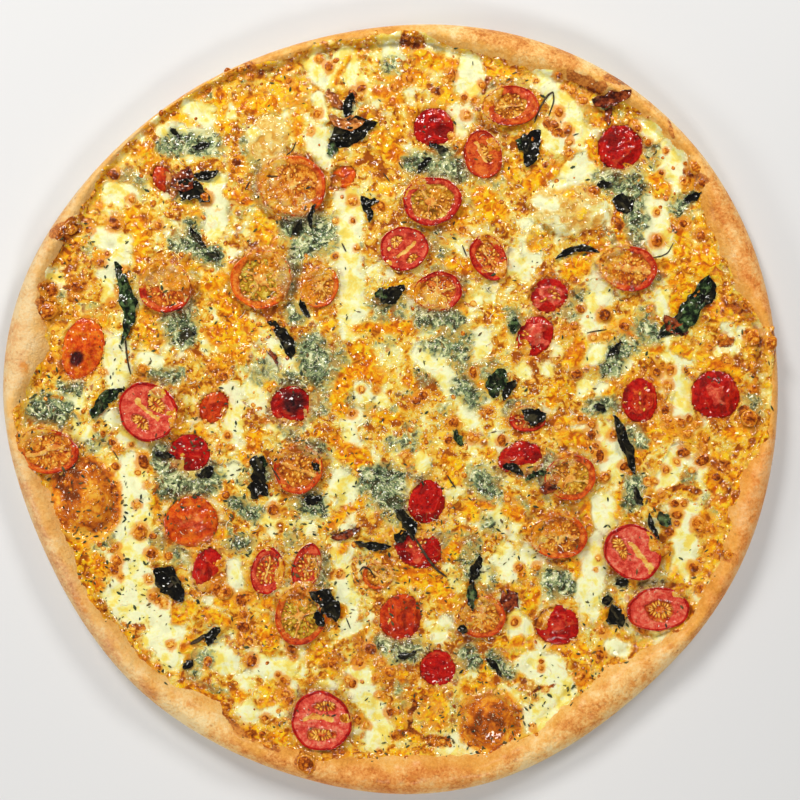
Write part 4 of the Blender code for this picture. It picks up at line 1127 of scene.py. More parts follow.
def make_seeds(material):
    """Make the seeds in the hollows of the cut tomato faces."""
    chance = np.random.default_rng(9)
    places = []
    for half in HALVES:
        if half["number"] in POCKETS:
            places += pocket_seeds(half, chance)
            continue
        if half["kind"] in ("skin",):
            continue
        size = math.sqrt(half["long"] * half["wide"])
        wanted = int(size * (1.0 if half["kind"] == "mush" else 2.1))
        kept = []
        for _ in range(600):
            if len(kept) >= wanted:
                break
            turn = chance.uniform(0.0, TAU)
            reach = 0.72 * math.sqrt(chance.random())
            x = half["x"] + reach * half["long"] * math.cos(turn)
            y = half["y"] + reach * half["long"] * math.sin(turn)
            height, marks, share = tomato_surface(half, np.array([x]), np.array([y]))
            crowded = any(math.hypot(x - px, y - py) < 1.7 for px, py, *_ in kept)
            if share[0] > 0.74 or marks["gel"][0] < 0.45 or crowded:
                continue
            outward = math.atan2(y - half["y"], x - half["x"])
            kept.append((x, y, height[0] + 0.12, outward + chance.normal(0.0, 0.3), 1.0))
        places += kept
    x, y, z, turn, stretch = np.array(places).T
    shape, faces = button(9, ((0, 0.5), (0.55, 0.42), (0.9, 0.12), (1.0, -0.15), (0.7, -0.5)))
    shape[:, 1] *= 1.0 - 0.35 * shape[:, 0]
    count = len(x)
    size = np.stack([chance.uniform(0.95, 1.35, count) * stretch, chance.uniform(0.55, 0.8, count),
                     np.full(count, 0.7)], -1)
    points, faces = scattered(shape, faces, x, y, z, turn, size)
    marks = {"tone": np.repeat(chance.random(count), len(shape)),
             "outward": np.tile(np.hypot(shape[:, 0], shape[:, 1]), count)}
    return add_piece("tomato_seeds", points, faces, material, marks)


# ---------------------------------------------------------------- leaves and stalks
def leaf_shape(x, y, length, width, turn, curl, look, seed):
    """Return points, faces and marks of one crumpled leaf that lies on what is under it."""
    chance = np.random.default_rng(seed)
    rows = max(int(length * 1.35), 10)
    columns = max(int(width * 1.5), 7)
    a, b = np.meshgrid(np.linspace(-1.0, 1.0, rows), np.linspace(-1.0, 1.0, columns), indexing="ij")
    lobes = 1.0 + 0.38 * lumps(a * 2.6, b * 1.2, 1.0, seed) + 0.26 * lumps(a * 7.0, b * 1.5, 1.0, seed + 1)
    half = (1.0 - np.abs(a) ** 2.2) ** 0.8 * lobes + 0.05
    bend = chance.uniform(0.15, 0.6) * chance.choice([-1.0, 1.0])
    side = b * half * width / 2.0
    spine_x = length / 2.0 * np.sin(bend * a) / bend
    spine_y = length / 2.0 * (1.0 - np.cos(bend * a)) / bend
    local_x = spine_x - side * np.sin(bend * a) + 0.5 * lumps(a * 4, b * 3, 1.0, seed + 2)
    local_y = spine_y + side * np.cos(bend * a) + 0.5 * lumps(a * 4, b * 3, 1.0, seed + 3)
    cosine, sine = math.cos(math.radians(turn)), math.sin(math.radians(turn))
    px = x + local_x * cosine - local_y * sine
    py = y + local_x * sine + local_y * cosine
    ground = read_map("top", px, py)
    resting = 0.55 * ground + 0.45 * np.percentile(ground, 70)
    creases = 1.0 - 2.0 * np.abs(rough(local_x * 0.35, local_y, 2.3, seed + 4, 2))
    folds = rough(local_x, local_y, 5.5, seed + 6, 2)
    vein = smooth(0.16, 0.03, np.abs(b))
    lifted = curl * (0.6 * np.abs(b) ** 1.7 * (0.6 + folds) + 0.7 * folds + 0.45 * creases)
    z = np.maximum(resting + 0.5 + lifted - 0.25 * vein, ground + 0.15)
    z = np.minimum(z, HIGHEST - 0.2)
    upper = np.stack([px, py, z], -1).reshape(-1, 3)
    lower = upper - np.array([0.0, 0.0, 0.4])
    index = np.arange(rows * columns).reshape(rows, columns)
    top = np.stack([index[:-1, :-1], index[1:, :-1], index[1:, 1:], index[:-1, 1:]], -1).reshape(-1, 4)
    rim = np.concatenate([index[0, :], index[1:, -1], index[-1, -2::-1], index[-2:0:-1, 0]])
    after = np.roll(rim, -1)
    total = rows * columns
    wall = np.stack([rim, after, after + total, rim + total], -1)
    bottom = top[:, ::-1] + total
    marks = {
        "green": (look == "green") * (0.65 + 0.5 * folds),
        "rust": (look == "rust") * (0.8 + 0.3 * folds),
        "caramel": (look == "caramel") * (0.8 + 0.3 * folds),
        "crease": np.clip(creases, 0.0, 1.0),
        "vein": vein,
    }
    marks = {mark: np.tile(np.ravel(values * np.ones_like(a)), 2) for mark, values in marks.items()}
    return np.vstack([upper, lower]), [top, wall, bottom], marks


def make_leaves(material):
    """Make the leaves that stand for CAD nodes, one piece each, and the smaller scraps as one piece."""
    for number, look in LEAF_LOOKS.items():
        name = f"basil_leaf_{number:02d}"
        place = measure(name)
        points, faces, marks = leaf_shape(
            place["x"], place["y"], 2.05 * place["long"], LEAF_WIDTHS.get(number, 1.5) * place["wide"], math.degrees(place["turn"]),
            1.9, look, 2000 + 10 * number)
        add_piece(f"wilted_{name}", points, faces, material, marks, (name,))
    shapes = [leaf_shape(*scrap, 3000 + 10 * number) for number, scrap in enumerate(LEAF_PIECES)]
    points, faces, marks = joined(shapes)
    add_piece("basil_scraps", points, faces, material, marks)


def joined(shapes):
    """Return several shapes' points, quads and marks as one."""
    starts = np.cumsum([0] + [len(points) for points, _, _ in shapes[:-1]])
    points = np.vstack([points for points, _, _ in shapes])
    quads = np.vstack([np.vstack(faces) + start for (_, faces, _), start in zip(shapes, starts)])
    marks = {mark: np.concatenate([shape[2][mark] for shape in shapes]) for mark in shapes[0][2]}
    return points, [quads], marks


def make_stalks(material):
    """Make the thin stalks and dry strips as bent tubes of one piece."""
    shapes = []
    for thick, *line in STALKS:
        corners = np.reshape(line, (-1, 2)).astype(float)
        place = np.linspace(0.0, len(corners) - 1.0, 6 * (len(corners) - 1) + 1)
        for _ in range(2):
            x = np.interp(place, np.arange(len(corners)), corners[:, 0])
            y = np.interp(place, np.arange(len(corners)), corners[:, 1])
            for _ in range(3):
                x[1:-1] = (x[:-2] + 2.0 * x[1:-1] + x[2:]) / 4.0
                y[1:-1] = (y[:-2] + 2.0 * y[1:-1] + y[2:]) / 4.0
        z = read_map("top", x, y)
        for _ in range(2):
            z[1:-1] = np.maximum(z[1:-1], (z[:-2] + z[2:]) / 2.0)
        z = z + 0.6 * thick
        turn = np.arctan2(np.gradient(y), np.gradient(x))
        sides = 6
        taper = thick * (1.0 - 0.6 * np.linspace(-1.0, 1.0, len(x)) ** 4)
        rings = []
        for side in range(sides):
            around = TAU * side / sides
            off = taper * math.cos(around)
            rings.append(np.stack([x - np.sin(turn) * off, y + np.cos(turn) * off,
                                   z + taper * math.sin(around)], -1))
        points = np.stack(rings, 1).reshape(-1, 3)
        index = np.arange(len(x) * sides).reshape(len(x), sides)
        after = np.roll(index, -1, axis=1)
        tube = np.stack([index[:-1], index[1:], after[1:], after[:-1]], -1).reshape(-1, 4)
        ends = np.vstack([index[0, [0, 1, 2, 3]], index[0, [3, 4, 5, 0]],
                          index[-1, [3, 2, 1, 0]], index[-1, [0, 5, 4, 3]]])
        shapes.append((points, [tube, ends], {"tone": np.full(len(points), thick)}))
    points, faces, marks = joined(shapes)
    add_piece("stalks", points, faces, material, marks)


# ---------------------------------------------------------------- materials
def rgb(red, green, blue):
    """Return a screen colour, 0 to 255, as the linear colour that a shader takes."""
    levels = np.array([red, green, blue]) / 255.0
    linear = np.where(levels <= 0.04045, levels / 12.92, ((levels + 0.055) / 1.055) ** 2.4)
    return (*linear.tolist(), 1.0)


class Paint:
    """A procedural material: its Principled shader, and short calls that add nodes before it."""

    def __init__(self, name, fixed):
        self.material = bpy.data.materials.new(name)
        self.material.use_nodes = True
        self.tree = self.material.node_tree
        self.shader = self.tree.nodes["Principled BSDF"]
        for socket, value in fixed.items():
            self.shader.inputs[socket].default_value = value
        self.place = self.tree.nodes.new("ShaderNodeTexCoord").outputs["Object"]

    def feed(self, socket, value):
        """Set a socket from another node's output, a number or a colour."""
        if isinstance(value, bpy.types.NodeSocket):
            self.tree.links.new(value, socket)
        else:
            socket.default_value = value

    def mark(self, name):
        """Return a number that the mesh carries at each point."""
        node = self.tree.nodes.new("ShaderNodeAttribute")
        node.attribute_name = name
        return node.outputs["Fac"]

    def noise(self, size, detail=3.0, roughness=0.6, distortion=0.0):
        """Return noise whose lumps are about size millimetres across."""
        node = self.tree.nodes.new("ShaderNodeTexNoise")
        self.feed(node.inputs["Vector"], self.place)
        self.feed(node.inputs["Scale"], 1.0 / (size * MM))
        self.feed(node.inputs["Detail"], detail)
        self.feed(node.inputs["Roughness"], roughness)
        self.feed(node.inputs["Distortion"], distortion)
        return node.outputs["Fac"]

    def cells(self, size, wobble=0.35):
        """Return the distance to the nearest of scattered points, size millimetres apart, made uneven."""
        shift = self.tree.nodes.new("ShaderNodeTexNoise")
        self.feed(shift.inputs["Vector"], self.place)
        self.feed(shift.inputs["Scale"], 1.6 / (size * MM))
        moved = self.tree.nodes.new("ShaderNodeVectorMath")
        moved.operation = "MULTIPLY_ADD"
        self.feed(moved.inputs[0], shift.outputs["Color"])
        moved.inputs[1].default_value = [wobble * size * MM] * 3
        self.feed(moved.inputs[2], self.place)
        node = self.tree.nodes.new("ShaderNodeTexVoronoi")
        self.feed(node.inputs["Vector"], moved.outputs[0])
        self.feed(node.inputs["Scale"], 1.0 / (size * MM))
        return node.outputs["Distance"]

    def ramp(self, factor, *stops):
        """Return the colour for a number, between stops given as (number, colour)."""
        node = self.tree.nodes.new("ShaderNodeValToRGB")
        self.feed(node.inputs["Fac"], factor)
        elements = node.color_ramp.elements
        while len(elements) < len(stops):
            elements.new(0.5)
        for element, (position, colour) in zip(elements, stops):
            element.position = position
            element.color = colour
        return node.outputs["Color"]

    def mix(self, factor, first, second, blend="MIX"):
        """Return the first colour turned into the second by a factor."""
        node = self.tree.nodes.new("ShaderNodeMix")
        node.data_type = "RGBA"
        node.blend_type = blend
        self.feed(node.inputs[0], factor)
        self.feed(node.inputs[6], first)
        self.feed(node.inputs[7], second)
        return node.outputs[2]

    def maths(self, operation, first, second=0.0):
        """Return one sum of two numbers."""
        node = self.tree.nodes.new("ShaderNodeMath")
        node.operation = operation
        self.feed(node.inputs[0], first)
        self.feed(node.inputs[1], second)
        return node.outputs[0]

    def blend(self, first, second, share):
        """Return a mean of two numbers with the second's share."""
        kept = self.maths("MULTIPLY", first, 1.0 - share)
        return self.maths("ADD", kept, self.maths("MULTIPLY", second, share))

    def step(self, value, low, high, out_low=0.0, out_high=1.0):
        """Return a smooth step of a number from out_low at low to out_high at high."""
        node = self.tree.nodes.new("ShaderNodeMapRange")
        node.interpolation_type = "SMOOTHSTEP"
        for socket, number in zip(node.inputs[:5], (value, low, high, out_low, out_high)):
            self.feed(socket, number)
        return node.outputs[0]

    def ragged(self, mark, grain, amount=0.5):
        """Return a mark whose soft edge is broken up by grain."""
        shifted = self.maths("SUBTRACT", grain, 0.5)
        shifted = self.maths("MULTIPLY", shifted, amount * 2.0)
        return self.step(self.maths("ADD", self.mark(mark), shifted), 0.30, 0.70)

    def relief(self, height, depth, below=None):
        """Return a surface direction with relief of a height, its depth in millimetres."""
        node = self.tree.nodes.new("ShaderNodeBump")
        self.feed(node.inputs["Height"], height)
        self.feed(node.inputs["Distance"], depth * MM)
        self.feed(node.inputs["Strength"], 1.0)
        if below is not None:
            self.feed(node.inputs["Normal"], below)
        return node.outputs["Normal"]

    def bump(self, *layers):
        """Add fine relief to the shader: each layer is a height and its depth in millimetres."""
        normal = None
        for height, depth in layers:
            normal = self.relief(height, depth, normal)
        self.feed(self.shader.inputs["Normal"], normal)

    def wet(self, size, depth, levelled=0.6, lively=1.0):
        """Lay an oily clear coat that half levels the surface and ripples, so that it glints in spots."""
        node = self.tree.nodes.new("ShaderNodeNewGeometry")
        lifted = self.tree.nodes.new("ShaderNodeVectorMath")
        lifted.operation = "SCALE"
        self.feed(lifted.inputs[0], node.outputs["Normal"])
        self.feed(lifted.inputs["Scale"], 1.0 - levelled)
        added = self.tree.nodes.new("ShaderNodeVectorMath")
        added.operation = "ADD"
        self.feed(added.inputs[0], lifted.outputs[0])
        added.inputs[1].default_value = (0.0, 0.0, levelled)
        level = self.tree.nodes.new("ShaderNodeVectorMath")
        level.operation = "NORMALIZE"
        self.feed(level.inputs[0], added.outputs[0])
        waves = self.maths("MULTIPLY", self.noise(size, 1.0, 0.5), lively)
        ripples = self.relief(waves, depth, level.outputs[0])
        self.feed(self.shader.inputs["Coat Normal"], ripples)

    def finish(self, colour, roughness):
        """Join a colour and a roughness to the shader and return the material."""
        self.feed(self.shader.inputs["Base Color"], colour)
        self.feed(self.shader.inputs["Roughness"], roughness)
        return self.material


def soft_body(weight, depth, radius):
    """Return the shader settings of a soft, slightly see-through food, its depth in millimetres."""
    return {"Subsurface Weight": weight, "Subsurface Scale": depth * MM, "Subsurface Radius": radius}


def crust_paint():
    """Golden baked dough with tan freckles, brown blisters and a floury underside."""
    paint = Paint("golden_crust", {"Coat Weight": 0.15, "Coat Roughness": 0.25, "Specular IOR Level": 0.1})
    broad = paint.noise(8.0, 4.0, 0.65)
    fine = paint.noise(1.3, 3.0, 0.7)
    grain = paint.maths("ADD", paint.maths("MULTIPLY", broad, 1.4), paint.maths("MULTIPLY", fine, 1.1))
    tone = paint.maths("ADD", paint.mark("bake"), paint.maths("SUBTRACT", grain, 1.25))
    colour = paint.ramp(tone, (0.12, rgb(255, 232, 172)), (0.38, rgb(250, 208, 132)),
                        (0.60, rgb(238, 174, 94)), (0.82, rgb(212, 134, 62)), (1.05, rgb(170, 90, 36)))
    colour = paint.mix(paint.maths("MULTIPLY", paint.mark("ruddy"), 0.42), colour, rgb(236, 110, 20))
    colour = paint.mix(paint.maths("MULTIPLY", paint.mark("tan"), 0.35), colour, rgb(206, 174, 146))
    freckles = paint.maths("MULTIPLY", paint.step(paint.cells(2.6, 0.5), 0.30, 0.12), paint.step(broad, 0.40, 0.62))
    colour = paint.mix(paint.maths("MULTIPLY", freckles, 0.5), colour, rgb(158, 88, 40))
    toasted = paint.step(paint.maths("ADD", paint.mark("oily"), broad), 0.85, 1.55, 0.0, 0.5)
    colour = paint.mix(toasted, colour, rgb(240, 178, 72))
    burnt = paint.ramp(paint.blend(fine, broad, 0.5), (0.42, rgb(140, 66, 22)), (0.50, rgb(190, 102, 40)),
                       (0.58, rgb(226, 150, 70)))
    colour = paint.mix(paint.maths("MULTIPLY", paint.ragged("char", broad, 1.6), 0.9), colour, burnt)
    under = paint.ramp(paint.noise(7.0, 5.0, 0.65), (0.40, rgb(238, 212, 160)), (0.55, rgb(214, 160, 96)),
                       (0.68, rgb(126, 78, 44)))
    colour = paint.mix(paint.mark("under"), colour, under)
    paint.bump((paint.noise(3.0, 3.0), 0.9), (fine, 0.5))
    return paint.finish(colour, paint.step(paint.mark("oily"), 0.0, 1.0, 0.6, 0.4))


def cheese_paint():
    """Melted cheese: blistered gold, pale smooth pools, orange cheddar and grey-green herb patches, with painted
    shade in its hollows and painted glints.
    """
    paint = Paint("blistered_cheese", {"Coat Weight": 0.8, "Coat Roughness": 0.04, "Specular IOR Level": 0.08,
                                       "Coat IOR": 1.5, **soft_body(0.05, 1.2, (1.0, 0.5, 0.12))})
    fine = paint.noise(0.8, 2.0, 0.7)
    middle = paint.noise(3.2, 2.0, 0.5, 0.8)
    broad = paint.noise(8.0, 3.0, 0.6, 0.5)
    mottle = paint.blend(fine, middle, 0.84)
    uneven = paint.maths("MULTIPLY", paint.maths("SUBTRACT", mottle, 0.5), 2.0)
    gratin = paint.blend(paint.blend(middle, fine, 0.14), broad, 0.42)
    paler = paint.maths("MULTIPLY", paint.maths("SUBTRACT", paint.mark("pool"), 0.10), 0.10)
    gratin = paint.maths("ADD", gratin, paler)
    drift = paint.maths("MULTIPLY", paint.maths("SUBTRACT", paint.noise(15.0, 2.0, 0.5, 0.6), 0.5), 0.30)
    gratin = paint.maths("ADD", gratin, drift)
    colour = paint.ramp(gratin, (0.390, rgb(160, 78, 6)), (0.430, rgb(208, 126, 16)),
                        (0.470, rgb(234, 168, 36)), (0.515, rgb(244, 202, 74)),
                        (0.565, rgb(248, 232, 124)), (0.62, rgb(252, 248, 184)))
    large = paint.maths("MULTIPLY", paint.step(paint.cells(6.4, 0.7), 0.55, 0.05), paint.step(broad, 0.50, 0.60))
    large = paint.maths("MULTIPLY", large, paint.step(paint.mark("blown"), 0.5, 0.1))
    toast = paint.maths("MAXIMUM", large, paint.mark("domes"))
    toast = paint.maths("ADD", toast, paint.maths("MULTIPLY", uneven, 1.4))
    toasted = paint.ramp(toast, (0.20, rgb(236, 176, 48)), (0.48, rgb(224, 138, 20)),
                         (0.80, rgb(192, 92, 8)), (1.05, rgb(130, 54, 2)))
    colour = paint.mix(paint.step(toast, 0.15, 0.80, 0.0, 0.92), colour, toasted)
    skin = paint.ramp(paint.blend(middle, broad, 0.6), (0.42, rgb(222, 160, 62)), (0.50, rgb(238, 200, 104)),
                      (0.60, rgb(244, 218, 132)))
    colour = paint.mix(paint.step(paint.mark("blown"), 0.2, 0.8), colour, skin)
    pool = paint.ramp(paint.blend(broad, middle, 0.25), (0.40, rgb(241, 218, 98)), (0.46, rgb(244, 238, 148)),
                      (0.53, rgb(245, 248, 202)))
    soaked = paint.maths("ADD", paint.mark("pool"), paint.maths("MULTIPLY", uneven, 0.6))
    colour = paint.mix(paint.step(soaked, 0.16, 0.80), colour, pool)
    cheddar = paint.ramp(mottle, (0.38, rgb(208, 96, 0)), (0.46, rgb(236, 138, 0)),
                         (0.53, rgb(248, 172, 0)), (0.62, rgb(255, 212, 24)))
    melted = paint.step(paint.maths("ADD", paint.mark("cheddar"), uneven), 0.15, 0.85, 0.0, 0.97)
    colour = paint.mix(paint.maths("MULTIPLY", melted, paint.step(toast, 1.1, 0.6, 0.75, 1.0)), colour, cheddar)
    halo = paint.maths("ADD", paint.mark("halo"), uneven)
    colour = paint.mix(paint.step(halo, 0.1, 1.0, 0.0, 0.85), colour, rgb(230, 146, 30))
    tinted = paint.maths("ADD", paint.mark("herb"), paint.maths("SUBTRACT", broad, 0.5))
    colour = paint.mix(paint.step(tinted, 0.02, 0.45, 0.0, 0.60), colour, rgb(190, 182, 104))
    patchy = paint.blend(paint.noise(5.0, 3.0, 0.55, 1.6), fine, 0.15)
    herb = paint.ramp(patchy, (0.38, rgb(14, 24, 16)), (0.44, rgb(44, 70, 52)), (0.50, rgb(96, 122, 90)),
                      (0.56, rgb(160, 176, 122)), (0.63, rgb(240, 244, 192)))
    growth = paint.maths("ADD", paint.mark("herb"), paint.maths("MULTIPLY", uneven, 1.4))
    grown = paint.maths("MULTIPLY", paint.step(growth, 0.05, 0.80, 0.0, 0.94), paint.step(paint.mark("herb"), 0.0, 0.25))
    colour = paint.mix(grown, colour, herb)
    glow = paint.maths("MULTIPLY", paint.mark("blush"), paint.step(middle, 0.36, 0.60, 0.10, 0.65))
    colour = paint.mix(glow, colour, rgb(214, 96, 10))
    browned = paint.ramp(mottle, (0.38, rgb(104, 40, 6)), (0.50, rgb(182, 90, 10)), (0.62, rgb(226, 146, 34)))
    colour = paint.mix(paint.ragged("brown", fine, 0.6), colour, browned)
    heat = paint.maths("ADD", paint.maths("MULTIPLY", broad, 2.0), paint.maths("MULTIPLY", mottle, 1.4))
    heat = paint.maths("ADD", paint.mark("roast"), paint.maths("SUBTRACT", heat, 1.85))
    roasted = paint.ramp(heat, (0.20, rgb(244, 184, 62)), (0.45, rgb(230, 138, 28)),
                         (0.72, rgb(190, 92, 18)), (1.0, rgb(118, 52, 10)))
    colour = paint.mix(paint.step(paint.mark("roast"), 0.05, 0.35), colour, roasted)
    # Painted shade: the cheese is darkened towards brown in its hollows.
    shade_in_hollows = paint.step(paint.mark("cavity_shade"), 0.0, -0.9, 0.0, 0.85)
    colour = paint.mix(shade_in_hollows, colour, paint.mix(0.6, colour, rgb(120, 60, 0), "MULTIPLY"))
    # Painted glints: pale cream specks on the fine noise's peaks, fewer on the pools and cheddar.
    painted_glints = paint.maths("MULTIPLY", paint.step(fine, 0.60, 0.68), paint.step(middle, 0.46, 0.56))
    dull = paint.maths("MAXIMUM", paint.mark("pool"), paint.mark("cheddar"))
    painted_glints = paint.maths("MULTIPLY", painted_glints, paint.step(dull, 0.9, 0.3, 0.1, 0.85))
    colour = paint.mix(painted_glints, colour, rgb(255, 248, 208))
    smooth_parts = paint.maths("MAXIMUM", paint.mark("roast"), paint.mark("pool"))
    lively = paint.step(smooth_parts, 0.2, 0.8, 1.0, 0.35)
    paint.bump((paint.maths("MULTIPLY", middle, lively), 1.3), (paint.maths("MULTIPLY", fine, lively), 0.5))
    paint.wet(3.6, 2.0, 0.6, lively)
    return paint.finish(colour, 0.5)


def blister_paint():
    """Glossy browned blisters, mottled brown to gold and darker towards their edge."""
    paint = Paint("brown_blisters", {"Coat Weight": 0.6, "Coat Roughness": 0.05, "Specular IOR Level": 0.08})
    fine = paint.noise(0.8, 2.0, 0.6)
    middle = paint.noise(1.9, 2.0, 0.5)
    grain = paint.maths("MULTIPLY", paint.maths("SUBTRACT", paint.blend(fine, middle, 0.6), 0.5), 3.2)
    ring = paint.step(paint.mark("outward"), 0.35, 0.80, 0.0, 0.30)
    filled = paint.maths("MULTIPLY", paint.mark("big"), paint.step(paint.mark("outward"), 0.9, 0.3, 0.10, 0.45))
    heat = paint.maths("ADD", paint.maths("ADD", grain, ring), paint.maths("MULTIPLY", paint.mark("tone"), 0.5))
    heat = paint.maths("ADD", heat, filled)
    colour = paint.ramp(heat, (0.02, rgb(246, 196, 92)), (0.25, rgb(232, 152, 38)), (0.50, rgb(206, 112, 18)),
                        (0.75, rgb(164, 74, 8)), (1.0, rgb(104, 40, 2)))
    skirt = paint.step(paint.maths("ADD", paint.mark("outward"), paint.maths("MULTIPLY", grain, 0.2)), 0.84, 1.0)
    colour = paint.mix(skirt, colour, rgb(234, 156, 40))
    paint.bump((fine, 0.4), (middle, 0.5))
    paint.wet(1.6, 0.5, 0.4)
    return paint.finish(colour, 0.4)


def tomato_paint():
    """Roasted tomato: tight red skin, pink wall, orange gel, paler core and scorched spots, with painted shade in
    the skin's folds and painted highlights on its ridges.
    """
    paint = Paint("roasted_tomato", {"Coat Weight": 0.85, "Coat Roughness": 0.04, "Specular IOR Level": 0.1,
                                     **soft_body(0.12, 2.0, (1.0, 0.25, 0.08))})
    fine = paint.noise(0.9, 3.0, 0.65)
    middle = paint.noise(3.0, 3.0, 0.6)
    grain = paint.blend(fine, middle, 0.68)
    red = paint.ramp(grain, (0.38, rgb(136, 16, 2)), (0.48, rgb(194, 38, 10)), (0.60, rgb(226, 92, 34)))
    amber = paint.ramp(grain, (0.38, rgb(172, 64, 6)), (0.48, rgb(214, 98, 16)), (0.60, rgb(240, 158, 54)))
    pink = paint.ramp(grain, (0.38, rgb(200, 46, 34)), (0.50, rgb(230, 84, 64)), (0.62, rgb(244, 146, 112)))
    flesh = paint.mix(paint.step(paint.mark("orange"), 0.15, 0.85), red, amber)
    flesh = paint.mix(paint.step(paint.mark("pink"), 0.2, 1.0), flesh, pink)
    gel = paint.ramp(grain, (0.38, rgb(128, 44, 2)), (0.46, rgb(186, 86, 8)),
                     (0.54, rgb(226, 136, 22)), (0.64, rgb(246, 196, 84)))
    olive = paint.ramp(grain, (0.38, rgb(96, 62, 2)), (0.46, rgb(164, 116, 12)),
                       (0.54, rgb(206, 166, 34)), (0.64, rgb(240, 222, 110)))
    ruby = paint.ramp(grain, (0.38, rgb(142, 14, 2)), (0.46, rgb(196, 44, 14)),
                      (0.54, rgb(222, 88, 36)), (0.64, rgb(240, 164, 90)))
    gel = paint.mix(paint.step(paint.mark("orange"), 0.5, 0.05, 0.0, 0.8), gel, ruby)
    gel = paint.mix(paint.step(paint.mark("olive"), 0.1, 0.9), gel, olive)
    colour = paint.mix(paint.ragged("gel", fine, 0.4), flesh, gel)
    brink = paint.maths("MULTIPLY", paint.step(paint.mark("gel"), 0.10, 0.35), paint.step(paint.mark("gel"), 0.90, 0.50))
    colour = paint.mix(paint.maths("MULTIPLY", brink, 0.4), colour, rgb(146, 44, 10))
    core = paint.ramp(grain, (0.38, rgb(222, 124, 44)), (0.50, rgb(240, 176, 76)), (0.62, rgb(248, 214, 124)))
    colour = paint.mix(paint.ragged("core", fine, 0.3), colour, core)
    deep = paint.ramp(grain, (0.36, rgb(118, 0, 0)), (0.48, rgb(176, 3, 0)), (0.62, rgb(208, 28, 10)))
    bright = paint.ramp(grain, (0.36, rgb(184, 44, 0)), (0.48, rgb(226, 84, 4)), (0.62, rgb(246, 140, 26)))
    skin = paint.mix(paint.step(paint.mark("orange"), 0.1, 1.0), deep, bright)
    # Painted shade: the skin darkens to deep red in the low folds and dents, less on orange halves.
    fold_shade = paint.maths("MULTIPLY", paint.step(paint.mark("fold"), 0.36, 0.02), paint.step(paint.mark("orange"), 1.0, 0.1, 0.15, 0.6))
    skin = paint.mix(fold_shade, skin, rgb(84, 4, 0))
    # Painted highlight: the skin's fold ridges are lightened towards pale orange-red.
    ridge_highlight = paint.maths("MULTIPLY", paint.step(paint.mark("fold"), 0.85, 1.0), 0.35)
    skin = paint.mix(ridge_highlight, skin, rgb(244, 110, 60))
    colour = paint.mix(paint.ragged("skin", fine, 0.2), colour, skin)
    scorched = paint.ramp(grain, (0.40, rgb(26, 2, 6)), (0.60, rgb(96, 18, 16)))
    colour = paint.mix(paint.mark("scorch"), colour, scorched)
    paint.bump((middle, 0.9), (fine, 0.6))
    paint.wet(2.2, 0.65)
    return paint.finish(colour, 0.3)


def seed_paint():
    """Tomato seeds, amber with a paler middle and a dark edge."""
    paint = Paint("tomato_seeds", {"Coat Weight": 0.5, "Coat Roughness": 0.06, "Specular IOR Level": 0.1,
                                   **soft_body(0.1, 0.8, (1.0, 0.6, 0.2))})
    tone = paint.maths("ADD", paint.maths("MULTIPLY", paint.mark("outward"), 0.6),
                       paint.maths("MULTIPLY", paint.mark("tone"), 0.35))
    tone = paint.maths("ADD", tone, paint.maths("MULTIPLY", paint.noise(0.6), 0.2))
    colour = paint.ramp(tone, (0.15, rgb(250, 214, 116)), (0.50, rgb(236, 172, 60)),
                        (0.74, rgb(196, 108, 22)), (0.92, rgb(140, 60, 6)))
    return paint.finish(colour, 0.3)


def basil_paint():
    """Baked basil: nearly black with green, rust and caramel pieces, full of creases and glossy, with painted
    highlights along the creases.
    """
    paint = Paint("wilted_basil", {"Coat Weight": 1.0, "Coat Roughness": 0.05, "Specular IOR Level": 0.05})
    fine = paint.noise(0.9, 3.0, 0.65)
    middle = paint.noise(2.6, 3.0, 0.6)
    black = paint.ramp(middle, (0.40, rgb(3, 2, 1)), (0.50, rgb(11, 8, 4)), (0.60, rgb(30, 27, 13)))
    green = paint.ramp(middle, (0.38, rgb(8, 14, 6)), (0.50, rgb(30, 48, 22)), (0.62, rgb(96, 122, 72)))
    rust = paint.ramp(middle, (0.38, rgb(56, 16, 6)), (0.50, rgb(120, 42, 16)), (0.62, rgb(176, 84, 38)))
    caramel = paint.ramp(middle, (0.38, rgb(140, 64, 22)), (0.50, rgb(200, 116, 46)), (0.62, rgb(234, 160, 82)))
    colour = paint.mix(paint.ragged("green", paint.noise(5.0, 2.0), 0.6), black, green)
    colour = paint.mix(paint.ragged("rust", middle, 0.5), colour, rust)
    colour = paint.mix(paint.ragged("caramel", middle, 0.4), colour, caramel)
    # Painted highlight: pale lines along the leaf's crease ridges.
    crease_highlight = paint.maths("MULTIPLY", paint.step(paint.mark("crease"), 0.7, 1.0), 0.26)
    colour = paint.mix(crease_highlight, colour, rgb(130, 120, 84))
    paint.bump((middle, 1.2), (fine, 0.6))
    paint.wet(2.4, 0.8)
    return paint.finish(colour, 0.45)


def fleck_paint():
    """Dried herbs, dark green to olive brown."""
    paint = Paint("dried_herbs", {"Specular IOR Level": 0.4})
    tone = paint.maths("ADD", paint.mark("tone"), paint.maths("MULTIPLY", paint.noise(0.7), 0.3))
    colour = paint.ramp(tone, (0.15, rgb(24, 34, 22)), (0.55, rgb(50, 66, 36)), (0.9, rgb(84, 84, 40)),
                        (1.1, rgb(110, 86, 40)))
    return paint.finish(colour, 0.6)


def stalk_paint():
    """Dry dark stalks."""
    paint = Paint("dry_stalks", {"Specular IOR Level": 0.4})
    colour = paint.ramp(paint.noise(1.6), (0.38, rgb(30, 22, 14)), (0.55, rgb(66, 48, 26)),
                        (0.7, rgb(104, 84, 44)))
    return paint.finish(colour, 0.5)


def grain_paint(name, dark, light):
    """Return a pale, slightly see-through cheese for grains and threads, which also stand in as painted glints."""
    paint = Paint(name, {"Coat Weight": 0.4, "Coat Roughness": 0.15,
                         **soft_body(0.15, 0.8, (1.0, 0.8, 0.5))})
    colour = paint.ramp(paint.noise(1.2), (0.40, dark), (0.60, light))
    return paint.finish(colour, 0.3)


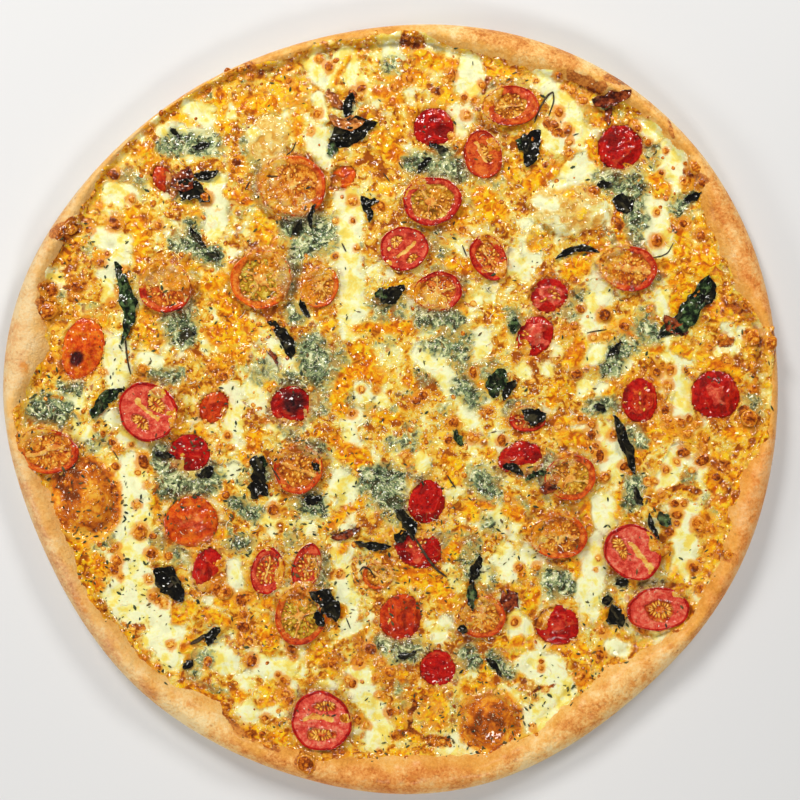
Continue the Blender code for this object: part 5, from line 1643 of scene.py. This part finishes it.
# ---------------------------------------------------------------- stage
def add_lamp(name, turn, tilt, reach, size, power):
    """Put one soft disk lamp round the pizza, its tilt measured from straight above, aimed at its middle."""
    lamp = bpy.data.lights.new(name, "AREA")
    lamp.shape = "DISK"
    lamp.size = size
    lamp.energy = power
    lamp.color = LAMP_COLOUR
    holder = bpy.data.objects.new(name, lamp)
    flat = reach * math.sin(math.radians(tilt))
    holder.location = (flat * math.cos(math.radians(turn)), flat * math.sin(math.radians(turn)),
                       reach * math.cos(math.radians(tilt)))
    holder.rotation_euler = (-holder.location).to_track_quat("-Z", "Y").to_euler()
    bpy.context.scene.collection.objects.link(holder)


def make_stage():
    """Make the floor, the soft lights round the pizza and the dim world light."""
    mesh = bpy.data.meshes.new("floor")
    side = 3.0
    mesh.from_pydata([(-side, -side, 0), (side, -side, 0), (side, side, 0), (-side, side, 0)], [],
                     [(0, 1, 2, 3)])
    floor = bpy.data.objects.new("floor", mesh)
    paint = Paint("floor", {})
    mesh.materials.append(paint.finish(paint.ramp(paint.noise(900.0), (0.3, rgb(219, 221, 226)),
                                                  (0.7, rgb(226, 228, 233))), 0.8))
    bpy.context.scene.collection.objects.link(floor)
    for lamp in LAMPS:
        add_lamp(*lamp)
    world = bpy.data.worlds.new("studio")
    world.use_nodes = True
    world.node_tree.nodes["Background"].inputs["Color"].default_value = (1.0, 0.985, 0.96, 1.0)
    world.node_tree.nodes["Background"].inputs["Strength"].default_value = 0.10
    bpy.context.scene.world = world
    bpy.context.scene.view_settings.view_transform = "Standard"


def make_camera():
    """Make the camera that looks straight down, with the pizza just filling the picture."""
    camera = bpy.data.cameras.new("camera")
    camera.sensor_width = 36.0
    camera.lens = 70.0
    seen_width = 366.0
    middle = (4.6, 4.3)
    distance = seen_width * camera.lens / camera.sensor_width
    holder = bpy.data.objects.new("camera", camera)
    holder.location = Vector((middle[0], middle[1], distance + CHEESE_LEVEL)) * MM
    bpy.context.scene.collection.objects.link(holder)
    bpy.context.scene.camera = holder


def build():
    """Make every piece of the pizza and the stage."""
    make_crust(crust_paint())
    make_cheese(cheese_paint())
    tomato = tomato_paint()
    for half in HALVES:
        make_tomato(half, tomato)
    make_seeds(seed_paint())
    make_blisters(blister_paint())
    make_leaves(basil_paint())
    make_stalks(stalk_paint())
    make_flecks(fleck_paint())
    # Pale crumbs: partly grated hard cheese, partly painted glints in place of oil highlights.
    make_crumbs(grain_paint("hard_cheese_crumbs", rgb(250, 238, 190), rgb(255, 252, 232)))
    # Pale threads: partly grated cheese, partly painted glints in place of curled highlights.
    make_threads(grain_paint("hard_cheese_threads", rgb(246, 232, 180), rgb(255, 250, 226)))
    make_stage()
    make_camera()


build()
